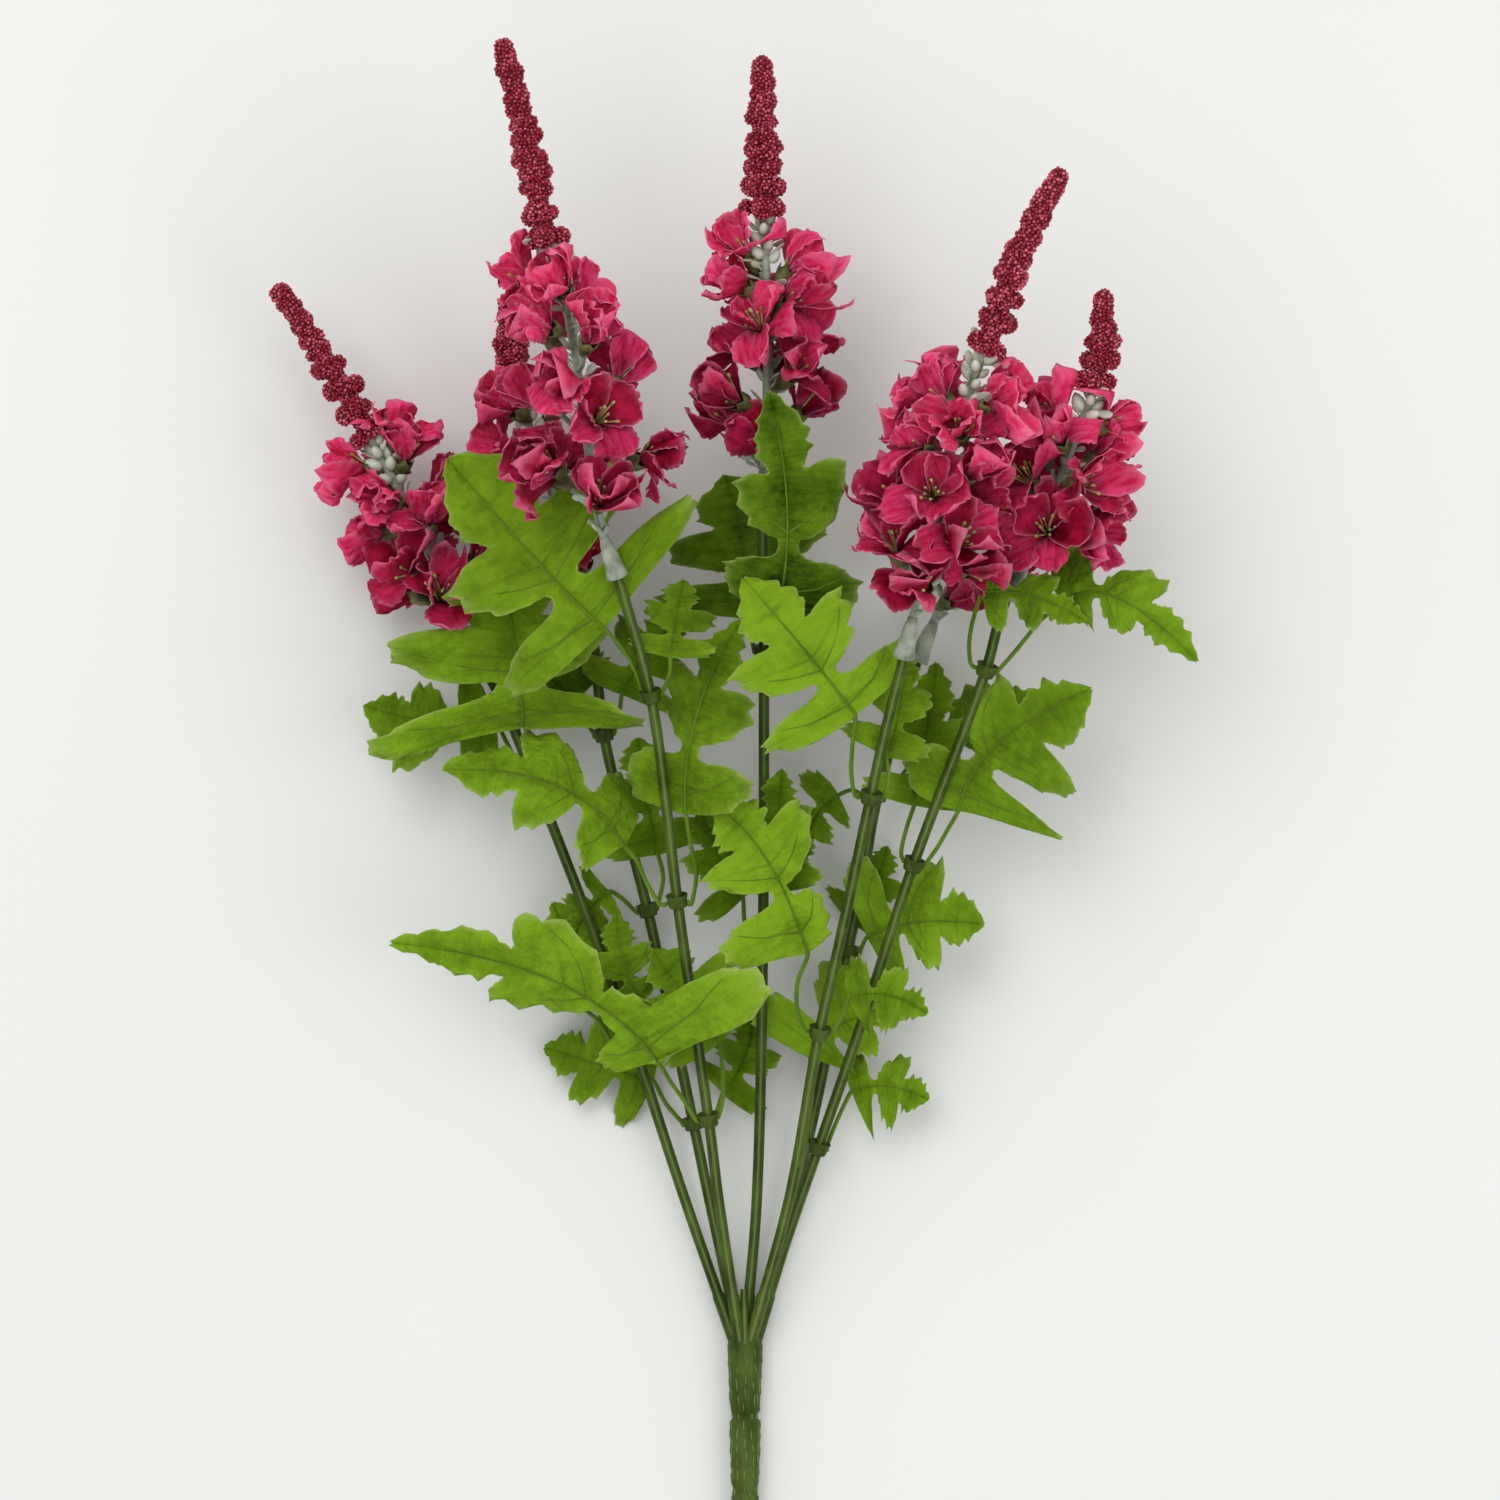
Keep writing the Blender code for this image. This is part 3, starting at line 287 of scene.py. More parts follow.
def petalFinish(look):
    material, tree, shader, place = newFinish("petalFabric", look)
    tone = attributeValue(tree, "tone")
    blotch = noiseValue(tree, place, look["blotch"], 3)
    shade = weighted(tree, (tone, look["toneShare"]), (blotch, look["blotchShare"]))
    colour = mixColours(tree, shade, look["deep"], look["bright"])
    # the petals' base is darkened towards the throat colour: painted shade deep inside the floret
    inner = mapRange(tree, attributeValue(tree, "along"), *look["throatShadeFade"])
    colour = mixColours(tree, inner, colour, look["throat"])
    drawn = noiseValue(tree, stretched(tree, clothPlace(tree), look["streakStretch"]), 1.0, 2, 0.4, 0.75)
    streak = mathNode(tree, "MULTIPLY", drawn, mathNode(tree, "MULTIPLY", tone, look["streakShare"]))
    colour = mixColours(tree, streak, colour, look["streak"])
    colour = overlay(tree, colour, "edge", *look["rim"], look["edge"])
    crease = noiseValue(tree, place, look["crease"], 4)
    height = weighted(tree, (threads(tree, look["thread"]), look["weave"]), (crease, 1.0))
    dress(tree, shader, colour, height, look["relief"])
    letLightIn(shader, *look["lightIn"])
    return material


def leafFinish(look):
    material, tree, shader, place = newFinish("leafFabric", look)
    blotch = noiseValue(tree, place, look["blotch"], 5, 0.36, 0.64)
    grain = noiseValue(tree, place, look["grain"], 4, 0.38, 0.62)
    streak = noiseValue(tree, stretched(tree, clothPlace(tree), look["streakStretch"]), 1.0, 4)
    outer = mathNode(tree, "POWER", attributeValue(tree, "edge"), look["edgePower"])
    shade = weighted(tree, (attributeValue(tree, "tone"), look["toneShare"]), (blotch, look["blotchShare"]),
                     (grain, look["grainShare"]), (streak, look["streakShare"]), (outer, look["edgeShare"]))
    colour = mixColours(tree, shade, look["deep"], look["bright"])
    colour = overlay(tree, colour, "underside", *look["underside"], look["back"])
    colour = overlay(tree, colour, "vein", *look["veins"], look["vein"])
    colour = overlay(tree, colour, "edge", *look["rim"], look["edge"])
    height = weighted(tree, (threads(tree, look["thread"]), look["weave"]), (grain, look["grainRelief"]),
                      (noiseValue(tree, place, look["crease"], 3), 1.0))
    dress(tree, shader, colour, height, look["relief"])
    letLightIn(shader, *look["lightIn"])
    return material


def greenPlastic(name, look):
    material, tree, shader, place = newFinish(name, look)
    drawn = noiseValue(tree, stretched(tree, place, look["stretch"]), 1, 3)
    shade = weighted(tree, (drawn, look["streakShare"]),
                     (noiseValue(tree, place, look["blotch"], 2), look["blotchShare"]))
    colour = mixColours(tree, shade, look["dark"], look["light"])
    # marked lines and the trunk's dashes are painted lighter: a painted highlight
    colour = overlay(tree, colour, "facet", *look["highlightMix"], look["facet"])
    dress(tree, shader, colour, drawn, look["relief"])
    return material


def sageFinish(look):
    material, tree, shader, place = newFinish("sagePlastic", look)
    shade = weighted(tree, (noiseValue(tree, place, look["blotch"], 3), look["blotchShare"]),
                     (look["least"], 1.0))
    colour = mixColours(tree, shade, look["dark"], look["light"])
    # buds and bracts take the pale bud colour, which is their own; the stalks' marked lines take it too, as a
    # painted highlight
    colour = overlay(tree, colour, "facet", *look["buds"], look["bud"])
    dress(tree, shader, colour, noiseValue(tree, place, look["grain"], 3), look["relief"])
    return material


def mottledFinish(name, look):
    material, tree, shader, place = newFinish(name, look)
    colour = mixColours(tree, noiseValue(tree, place, look["blotch"], 3), look["dark"], look["light"])
    dress(tree, shader, colour, noiseValue(tree, place, look["blotch"] * 4, 2), plasticLook["relief"])
    return material


def beadFinish(look):
    material, tree, shader, place = newFinish("beadCoat", look)
    tone = attributeValue(tree, "tone")
    shade = weighted(tree, (mathNode(tree, "POWER", tone, look["tonePower"]), look["toneShare"]),
                     (noiseValue(tree, place, look["blotch"], 2), look["blotchShare"]))
    colour = mixColours(tree, shade, look["deep"], look["bright"])
    # the body between the beads takes the dark gap colour: partly its own colour, partly painted shade in the
    # gaps
    onBead = mapRange(tree, tone, 0.0, look["gapTone"])
    colour = mixColours(tree, onBead, look["gap"], colour)
    dress(tree, shader, colour, noiseValue(tree, place, look["grain"], 2), look["relief"])
    return material


# Routes along the spikes

def curvePoint(a, slopeA, b, slopeB, span, t):
    # a cubic curve from a to b that leaves and arrives by the two slopes
    return ((2 * t**3 - 3 * t**2 + 1) * a + (t**3 - 2 * t**2 + t) * span * slopeA
            + (3 * t**2 - 2 * t**3) * b + (t**3 - t**2) * span * slopeB)


def routePoint(spike, y):
    route = spikes[spike]["route"]
    last = len(route) - 1
    i = 0
    while i < last - 1 and y > route[i + 1][1]:
        i += 1
    a, b = Vector(route[i]), Vector(route[i + 1])
    before = Vector(route[max(i - 1, 0)])
    after = Vector(route[min(i + 2, last)])
    span = b.y - a.y
    slopeA = (b - before) / (b.y - before.y)
    slopeB = (after - a) / (after.y - a.y)
    t = (y - a.y) / span
    if t < 0:
        return a + slopeA * (y - a.y)
    if t > 1:
        return b + slopeB * (y - b.y)
    return curvePoint(a, slopeA, b, slopeB, span, t)


def routeDirection(spike, y):
    return (routePoint(spike, y + 1) - routePoint(spike, y - 1)).normalized()


def sideDirections(direction):
    across = direction.cross(up).normalized()
    return across, across.cross(direction).normalized()


def outwardAt(direction, angle):
    across, above = sideDirections(direction)
    return across * math.cos(angle) + above * math.sin(angle)


routeSteps = np.arange(-215.0, 305.0, 1.0)
routeTables = {name: np.array([routePoint(name, y) for y in routeSteps]) for name in spikes}


def routeAt(spike, ys):
    table = routeTables[spike]
    return np.stack([np.interp(ys, routeSteps, table[:, k]) for k in range(3)], axis=1)


def smoothPath(points, step):
    # a rounded path through the points, with a point about every step
    points = [Vector(p) for p in points]
    path = []
    for i, (a, b) in enumerate(zip(points, points[1:])):
        before, after = points[max(i - 1, 0)], points[min(i + 2, len(points) - 1)]
        count = max(1, round((b - a).length / step))
        path += [curvePoint(a, b - before, b, after - a, 0.5, k / count) for k in range(count)]
    return path + [points[-1]]


# Mesh helpers

def addObject(name, mesh):
    obj = bpy.data.objects.new(name, mesh)
    bpy.context.scene.collection.objects.link(obj)
    return obj


def setAttribute(mesh, name, values, kind="FLOAT"):
    slot = mesh.attributes.new(name, kind, "POINT")
    field = "vector" if kind == "FLOAT_VECTOR" else "value"
    slot.data.foreach_set(field, np.asarray(values, np.float32).ravel())


def lathe(name, profile, sides, facet=0.0):
    # profile: (height, radius) pairs, outside first; both ends are closed to a point
    rings = [(h, r) for h, r in profile if r > 0]
    verts = [(r * mm * math.cos(math.tau * j / sides), r * mm * math.sin(math.tau * j / sides), h * mm)
             for h, r in rings for j in range(sides)]
    verts += [(0, 0, profile[0][0] * mm), (0, 0, profile[-1][0] * mm)]
    faces = []
    for i in range(len(rings) - 1):
        for j in range(sides):
            a, b = i * sides + j, i * sides + (j + 1) % sides
            faces.append((a, b, b + sides, a + sides))
    top = (len(rings) - 1) * sides
    for j in range(sides):
        k = (j + 1) % sides
        faces.append((len(verts) - 2, k, j))
        faces.append((top + j, top + k, len(verts) - 1))
    mesh = bpy.data.meshes.new(name)
    mesh.from_pydata(verts, [], faces)
    mesh.shade_smooth()
    setAttribute(mesh, "facet", [facet] * len(verts))
    return mesh


def turnedPiece(name, profile, sides, centre, direction, finish):
    mesh = lathe(name, profile, sides)
    turn = Vector(direction).to_track_quat("Z", "Y").to_matrix().to_4x4()
    mesh.transform(Matrix.Translation(Vector(centre) * mm) @ turn)
    mesh.materials.append(finish)
    return addObject(name, mesh)


def joinObjects(name, objects):
    for obj in objects:
        obj.select_set(True)
    with bpy.context.temp_override(active_object=objects[0], selected_editable_objects=objects,
                                   selected_objects=objects):
        bpy.ops.object.join()
    objects[0].name = name
    return objects[0]


def shellObject(name, sheets, thickness, material):
    # closed thin shells in one mesh; a sheet has a point grid, its normals, its flat cloth and attributes
    rows, cols = sheets[0]["grid"].shape[:2]
    index = np.arange(rows * cols).reshape(rows, cols)
    quads = np.stack([index[:-1, :-1], index[:-1, 1:], index[1:, 1:], index[1:, :-1]], axis=-1).reshape(-1, 4)
    loop = np.concatenate([index[0, :-1], index[:-1, -1], index[-1, :0:-1], index[:0:-1, 0]])
    ahead = np.roll(loop, -1)
    size = rows * cols
    rim = np.stack([ahead, loop, loop + size, ahead + size], axis=-1)
    one = np.concatenate([quads, quads[:, ::-1] + size, rim])
    verts = []
    faces = []
    for k, sheet in enumerate(sheets):
        flat, off = sheet["grid"].reshape(-1, 3), sheet["normals"].reshape(-1, 3) * thickness / 2
        verts += [flat + off, flat - off]
        faces.append(one + 2 * size * k)
    verts = np.concatenate(verts) * mm
    faces = np.concatenate(faces)
    mesh = bpy.data.meshes.new(name)
    mesh.from_pydata(verts.tolist(), [], faces.tolist())
    for label in sheets[0]:
        if label not in ("grid", "normals", "cloth"):
            setAttribute(mesh, label, np.concatenate([np.tile(sheet[label].ravel(), 2) for sheet in sheets]))
    under = np.concatenate([np.zeros(size), np.ones(size)])
    setAttribute(mesh, "underside", np.tile(under, len(sheets)))
    cloth = np.concatenate([np.tile(sheet["cloth"].reshape(-1, 2), (2, 1)) for sheet in sheets])
    layer = mesh.uv_layers.new(name="cloth")
    layer.data.foreach_set("uv", cloth[faces.ravel()].astype(np.float32).ravel())
    mesh.shade_smooth()
    mesh.materials.append(material)
    return addObject(name, mesh)


def gridNormals(grid, fallback):
    across = np.gradient(grid, axis=1)
    along = np.gradient(grid, axis=0)
    normal = np.cross(across, along)
    length = np.linalg.norm(normal, axis=-1, keepdims=True)
    return np.where(length > 1e-6, normal / np.maximum(length, 1e-6), fallback)


# Geometry node trees

inputKinds = {
    "Flutes": "Int", "Flute depth": "Float", "Piece": "Object", "Voxel": "Float", "Pitch": "Float",
    "Bead radius": "Float", "Size spread": "Float", "Seed": "Int", "Finish": "Material",
}


def newTree(name, *labels):
    tree = bpy.data.node_groups.new(name, "GeometryNodeTree")
    tree.is_modifier = True
    tree.interface.new_socket("Geometry", in_out="INPUT", socket_type="NodeSocketGeometry")
    for label in labels:
        tree.interface.new_socket(label, in_out="INPUT", socket_type="NodeSocket" + inputKinds[label])
    tree.interface.new_socket("Geometry", in_out="OUTPUT", socket_type="NodeSocketGeometry")
    return tree, tree.nodes.new("NodeGroupInput").outputs, tree.nodes.new("NodeGroupOutput")


def outOf(tree, kind, inputs, settings=None):
    return addNode(tree, kind, settings, inputs).outputs[0]


def finishTree(tree, end, geometry, finish):
    real = outOf(tree, "GeometryNodeRealizeInstances", {0: geometry})
    smooth = outOf(tree, "GeometryNodeSetShadeSmooth", {0: real})
    coated = outOf(tree, "GeometryNodeSetMaterial", {0: smooth, "Material": finish})
    tree.links.new(coated, end.inputs[0])
    return tree


def namedValue(tree, name, kind="FLOAT"):
    return outOf(tree, "GeometryNodeInputNamedAttribute", {"Name": name}, {"data_type": kind})


def storeValue(tree, geometry, name, value, domain="POINT"):
    return outOf(tree, "GeometryNodeStoreNamedAttribute",
                 {"Geometry": geometry, "Name": name, "Value": value},
                 {"data_type": "FLOAT", "domain": domain})


def randomValue(tree, low, high, seed):
    return addNode(tree, "FunctionNodeRandomValue", {"data_type": "FLOAT"},
                   {2: low, 3: high, "Seed": seed}).outputs[1]


def randomSize(tree, start):
    low, high = (mathNode(tree, way, 1.0, start["Size spread"]) for way in ("SUBTRACT", "ADD"))
    return randomValue(tree, low, high, start["Seed"])


def barTree():
    # a fluted bar along every path of the mesh, as thick as its girth says; some lines along it are marked
    # for a painted highlight
    tree, start, end = newTree("bar along a path", "Flutes", "Flute depth", "Finish")
    highlightEvery = 6.0
    path = outOf(tree, "GeometryNodeMeshToCurve", {0: start[0]})
    path = outOf(tree, "GeometryNodeSetCurveNormal", {0: path}, {"mode": "Z_UP"})
    inner = mathNode(tree, "SUBTRACT", 1.0, start["Flute depth"])
    star = outOf(tree, "GeometryNodeCurveStar",
                 {"Points": start["Flutes"], "Inner Radius": inner, "Outer Radius": 1.0})
    place = outOf(tree, "GeometryNodeInputIndex", {})
    # every sixth profile point marks a line for the painted highlight
    light = mathNode(tree, "LESS_THAN", mathNode(tree, "MODULO", place, highlightEvery), 0.5)
    star = storeValue(tree, star, "facet", light)
    bar = outOf(tree, "GeometryNodeCurveToMesh",
                {"Curve": path, "Profile Curve": star, "Scale": namedValue(tree, "girth"), "Fill Caps": True})
    return finishTree(tree, end, bar, start["Finish"])


def copiesTree():
    # copies of a small piece on the mesh's points, aimed, turned and sized by their attributes
    tree, start, end = newTree("copies on points", "Piece", "Size spread", "Seed", "Finish")
    aim = outOf(tree, "FunctionNodeAlignRotationToVector",
                {"Vector": namedValue(tree, "aim", "FLOAT_VECTOR")}, {"axis": "Z"})
    turn = outOf(tree, "FunctionNodeAxisAngleToRotation",
                 {"Axis": (0, 0, 1), "Angle": namedValue(tree, "turn")})
    both = outOf(tree, "FunctionNodeRotateRotation", {"Rotation": aim, "Rotate By": turn},
                 {"rotation_space": "LOCAL"})
    size = mathNode(tree, "MULTIPLY", randomSize(tree, start), namedValue(tree, "size"))
    piece = addNode(tree, "GeometryNodeObjectInfo", None, {0: start["Piece"]}).outputs["Geometry"]
    made = outOf(tree, "GeometryNodeInstanceOnPoints",
                 {"Points": start[0], "Instance": piece, "Rotation": both, "Scale": size})
    return finishTree(tree, end, made, start["Finish"])


def beadTree():
    # balls melted into one lumpy body, and beads spread evenly over it, each with its own tone
    tree, start, end = newTree("beads on clusters", "Voxel", "Pitch", "Bead radius", "Size spread", "Seed",
                               "Finish")
    girth = namedValue(tree, "girth")
    dots = outOf(tree, "GeometryNodeMeshToPoints", {0: start[0], "Radius": girth})
    melted = outOf(tree, "GeometryNodePointsToVolume",
                   {0: dots, "Voxel Size": start["Voxel"], "Radius": girth},
                   {"resolution_mode": "VOXEL_SIZE"})
    body = outOf(tree, "GeometryNodeVolumeToMesh", {0: melted, "Threshold": tips["threshold"]})
    body = storeValue(tree, body, "tone", 0.0)
    pitch = start["Pitch"]
    crowd = mathNode(tree, "DIVIDE", tips["crowding"], mathNode(tree, "MULTIPLY", pitch, pitch))
    spread = addNode(tree, "GeometryNodeDistributePointsOnFaces", {"distribute_method": "POISSON"},
                     {"Mesh": body, "Distance Min": pitch, "Density Max": crowd, "Seed": start["Seed"]})
    segments, rings = tips["beadFaces"]
    ball = outOf(tree, "GeometryNodeMeshUVSphere",
                 {"Segments": segments, "Rings": rings, "Radius": start["Bead radius"]})
    beads = outOf(tree, "GeometryNodeInstanceOnPoints",
                  {"Points": spread.outputs[0], "Instance": ball, "Rotation": spread.outputs[2],
                   "Scale": randomSize(tree, start)})
    beads = storeValue(tree, beads, "tone", randomValue(tree, *tips["tones"]), "INSTANCE")
    both = addNode(tree, "GeometryNodeJoinGeometry")
    tree.links.new(beads, both.inputs[0])
    tree.links.new(body, both.inputs[0])
    return finishTree(tree, end, both.outputs[0], start["Finish"])


def applyTree(name, mesh, tree, values):
    # runs a tree on a mesh and keeps the result as a plain mesh object
    source = addObject(name + "Source", mesh)
    modifier = source.modifiers.new("shape", "NODES")
    modifier.node_group = tree
    for socket in tree.interface.items_tree:
        if socket.item_type == "SOCKET" and socket.in_out == "INPUT" and socket.name in values:
            modifier[socket.identifier] = values[socket.name]
    graph = bpy.context.evaluated_depsgraph_get()
    made = bpy.data.meshes.new_from_object(source.evaluated_get(graph))
    source.modifiers.remove(modifier)
    bpy.data.objects.remove(source)
    return addObject(name, made)


def pointMesh(name, points, edges=()):
    mesh = bpy.data.meshes.new(name)
    mesh.from_pydata([tuple(Vector(p) * mm) for p in points], edges, [])
    return mesh


def bars(name, paths, girths, flutes, finish):
    # flutes: how many, and how deep as a share of the radius
    edges = []
    points = []
    for path in paths:
        edges += [(i, i + 1) for i in range(len(points), len(points) + len(path) - 1)]
        points += path
    mesh = pointMesh(name, points, edges)
    setAttribute(mesh, "girth", [g * mm for girth in girths for g in girth])
    return applyTree(name, mesh, trees["bar"],
                     {"Flutes": flutes[0], "Flute depth": flutes[1], "Finish": finish})


def copies(name, pieceMesh, places, plan, finish):
    # places: (point, aim, turn, size) of each copy
    mesh = pointMesh(name, [p[0] for p in places])
    setAttribute(mesh, "aim", [tuple(p[1]) for p in places], "FLOAT_VECTOR")
    setAttribute(mesh, "turn", [p[2] for p in places])
    setAttribute(mesh, "size", [p[3] for p in places])
    piece = addObject(name + "Piece", pieceMesh)
    made = applyTree(name, mesh, trees["copies"],
                     {"Piece": piece, "Size spread": plan["spread"], "Seed": plan["seed"], "Finish": finish})
    bpy.data.objects.remove(piece)
    return made


def copyPlace(point, aim, plan, rng):
    # turned any way about its own axis
    return point, aim, rng.uniform(0, 6), rng.uniform(*plan["sizes"])


def keep(obj, slot, *nodes):
    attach(obj, "root")
    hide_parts(*nodes)
    return obj


# Stem moulding: ribbed trunk, seven stems and the cut sprue nub

moulding = {
    "centre": (4.8, 7.0), "forkY": -207, "forkSink": 5, "step": 4.0, "footTop": -190,
    "footSteps": (-0.8, 0.4), "footRadius": 2.45, "stemRadius": 2.08, "sides": 40, "flutes": (8, 0.07),
    "boreDepth": 10.7,
    "trunk": [(-203, 0), (-203, 3.6), (-205, 5.0), (-207.5, 6.3), (-210, 6.9), (-222, 6.4), (-234, 5.75),
              (-235.8, 5.5), (-237.2, 4.9), (-238.4, 5.0), (-239.6, 6.0), (-252, 5.7), (-263, 5.3),
              (-265.2, 4.9), (-266.6, 4.5), (-267.8, 4.6), (-269, 5.4), (-282, 5.0), (-293.2, 4.6),
              (-294, 4.2), (-294, 0)],
    "nub": [(4.8, -211, 12.0), (4.6, -200, 12.6), (4.3, -188, 13.2)], "nubGirth": (1.6, 1.6, 1.36),
}
dash = {
    "profile": [(-2.3, 0), (-1.725, 0.18), (0, 0.3), (1.725, 0.18), (2.3, 0)], "sides": 8, "facet": 1.0,
    "columns": 12, "zone": (-291, -212), "pitch": 6.4, "gaps": (0.75, 1.25), "sway": 0.14, "lean": 0.12,
    "sizes": (0.6, 1.3), "spread": 0.15, "seed": 3,
}
sleeve = {
    "length": 15, "sides": 24,
    "profile": [(0.0, 0), (0.0, 2.6), (0.0, 4.2), (0.6, 4.4), (2.2, 4.05), (5.0, 3.5), (10.0, 3.05),
                (14, 2.5), (15, 2.1), (17, 1.8), (17, 0)],
}


def socketLine(spike):
    foot = routePoint(spike, spikes[spike]["sleeve"])
    return foot, (routePoint(spike, spikes[spike]["sleeve"] + sleeve["length"]) - foot).normalized()


def makeDashes():
    # raised dashes in columns round the trunk, every other column half a pitch further on
    x, z = moulding["centre"]
    heights, radii = zip(*sorted((h, r) for h, r in moulding["trunk"] if r > 0))
    places = []
    rng = random.Random("dashes")
    for column in range(dash["columns"]):
        angle = math.tau * column / dash["columns"]
        y = dash["zone"][0] + (column % 2) * dash["pitch"] / 2
        while y < dash["zone"][1]:
            reach = np.interp(y, heights, radii)
            sway = angle + dash["sway"] * rng.uniform(-1, 1)
            spot = (x + reach * math.cos(sway), y, z + reach * math.sin(sway))
            aim = (dash["lean"] * rng.uniform(-1, 1), 1, 0)
            places.append(copyPlace(spot, aim, dash, rng))
            y += dash["pitch"] * rng.uniform(*dash["gaps"])
    # each dash is marked in full, so it takes the stems' painted highlight colour
    lens = lathe("dash", dash["profile"], dash["sides"], dash["facet"])
    return copies("dashes", lens, places, dash, finishes["stem"])


def makeStems():
    paths = []
    girths = []
    for spike, plan in spikes.items():
        foot, direction = socketLine(spike)
        ys = list(np.arange(moulding["forkY"] - moulding["forkSink"], plan["sleeve"], moulding["step"]))
        ys = sorted(ys + [plan["sleeve"]] + [moulding["footTop"] + step for step in moulding["footSteps"]])
        paths.append([routePoint(spike, y) for y in ys] + [foot + direction * moulding["boreDepth"]])
        girths.append([moulding["footRadius" if y < moulding["footTop"] else "stemRadius"] for y in ys]
                      + [moulding["stemRadius"]])
    return bars("stemBars", paths + [moulding["nub"]], girths + [moulding["nubGirth"]], moulding["flutes"],
                finishes["stem"])


def makeMoulding():
    x, z = moulding["centre"]
    trunk = turnedPiece("trunk", moulding["trunk"][::-1], moulding["sides"], (x, 0, z), (0, 1, 0),
                        finishes["stem"])
    return keep(joinObjects("stemMoulding", [trunk, makeDashes(), makeStems()]), "stem_plastic", "stems")


# Florets

floretPlan = {
    "tilt": (32, 18, 8), "taper": 0.22, "firstGap": 4, "depth": 13.0, "nod": 0.4, "full": 33, "parted": 2,
    "firstAngle": math.radians(90), "looseAngle": 0.25, "looseY": 1.5, "aside": (-0.3, 0.1),
    "reaches": (0.94, 1.04), "turns": (0, 1.2),
}
petal = {
    "count": 5, "length": 20.5, "width": 18.8, "root": 1.8, "thickness": 0.24, "rows": 13, "columns": 13,
    "lengths": (0.84, 1.1), "widths": (0.8, 1.12), "notch": 0.12, "looseTurn": 0.3, "jags": (0.35, 1.25),
    "outline": ([0, 0.15, 0.35, 0.55, 0.75, 0.9, 1.0], [0.2, 0.48, 0.8, 0.97, 1.0, 0.86, 0.5]),
    "habits": (((20, 56), (44, 112)), ((-6, 20), (-6, 48)), ((36, 66), (115, 180))), "mix": (0.36, 0.84),
    "cupped": (-2.5, 9.0), "ruffle": 2.4, "waves": (1.6, 3.4), "twist": 4.5, "creases": 3, "crinkle": 0.5,
    "creasePace": (0.6, 1.5), "fray": 0.95, "tone": (0.06, 0.8, 1.4), "looseTone": (-0.22, 0.45),
    "axisClear": 8.6, "headClear": 0.7, "stemClear": 4.0, "beadClear": 9.5, "floor": 0.35, "softBand": 4.0,
    "headFrom": 4, "headTo": 14, "tipTo": 6, "anyRoom": 1e6,
}


def floretPlaces(spike):
    plan = spikes[spike]
    rng = random.Random("florets " + spike)
    first = plan["sleeve"] + sleeve["length"] + floretPlan["firstGap"]
    last = plan["crown"]
    baseTilt, addedTilt, looseTilt = floretPlan["tilt"]
    places = []
    for k in range(plan["florets"]):
        share = k / (plan["florets"] - 1)
        y = first + (last - first) * share + floretPlan["looseY"] * rng.uniform(-1, 1)
        direction = routeDirection(spike, y)
        angle = floretPlan["firstAngle"] + goldenAngle * k + floretPlan["looseAngle"] * rng.uniform(-1, 1)
        if k in plan.get("turned", {}):
            angle = math.radians(plan["turned"][k])
        if plan.get("parted") and k >= plan["florets"] - floretPlan["parted"]:
            angle = math.pi * (k % 2) + rng.uniform(*floretPlan["aside"]) * (-1) ** (k % 2)
        outward = outwardAt(direction, angle)
        tilt = math.radians(baseTilt + addedTilt * share + rng.uniform(-looseTilt, looseTilt))
        aim = outward * math.cos(tilt) + direction * math.sin(tilt)
        reach = plan["reach"] * (1 - floretPlan["taper"] * share) * rng.uniform(*floretPlan["reaches"])
        turn = rng.uniform(*floretPlan["turns"])
        places.append({"root": routePoint(spike, y), "aim": aim, "reach": reach, "turn": turn, "share": share,
                       "throat": routePoint(spike, y) + aim * (reach - floretPlan["depth"])})
    # each floret nods a little to one side of its peg
    nod = floretPlan["nod"]
    for place in places:
        across, above = sideDirections(place["aim"])
        face = place["aim"] + across * rng.uniform(-nod, nod) + above * rng.uniform(-nod, nod)
        place["face"] = face.normalized()
    return places


def softLimit(value, limit, band):
    # values above the limit's band are squeezed under the limit
    over = np.maximum(value - (limit - band), 0)
    return np.minimum(value, limit - band) + band * np.tanh(over / band)


def keepPetalsClear(spike, points):
    # off the spike's own axis, on its own side of its neighbours, and above the table
    own = routeAt(spike, points[:, 1])
    radial = points - own
    length = np.linalg.norm(radial, axis=1, keepdims=True)
    near = length < petal["axisClear"]
    points = np.where(near, own + radial / np.maximum(length, 1e-6) * petal["axisClear"], points)
    for other, plan in spikes.items():
        if other == spike:
            continue
        tip = plan["route"][-1][1]
        ys = points[:, 1]
        towards = routeAt(other, np.minimum(ys, tip)) - own
        distance = np.linalg.norm(towards, axis=1)
        share = spikes[spike]["reach"] / (spikes[spike]["reach"] + plan["reach"])
        room = np.where(ys < plan["sleeve"] - petal["headFrom"], distance - petal["stemClear"],
                        np.where(ys > plan["beads"] + petal["headTo"], distance - petal["beadClear"],
                                 distance * share - petal["headClear"]))
        room = np.where(ys > tip + petal["tipTo"], petal["anyRoom"], room)
        towards /= distance[:, None]
        toward = ((points - own) * towards).sum(axis=1)
        kept = softLimit(toward, room, petal["softBand"])
        points = points - towards * (toward - kept)[:, None]
    points[:, 2] = -softLimit(-points[:, 2], -petal["floor"], petal["softBand"])
    return points


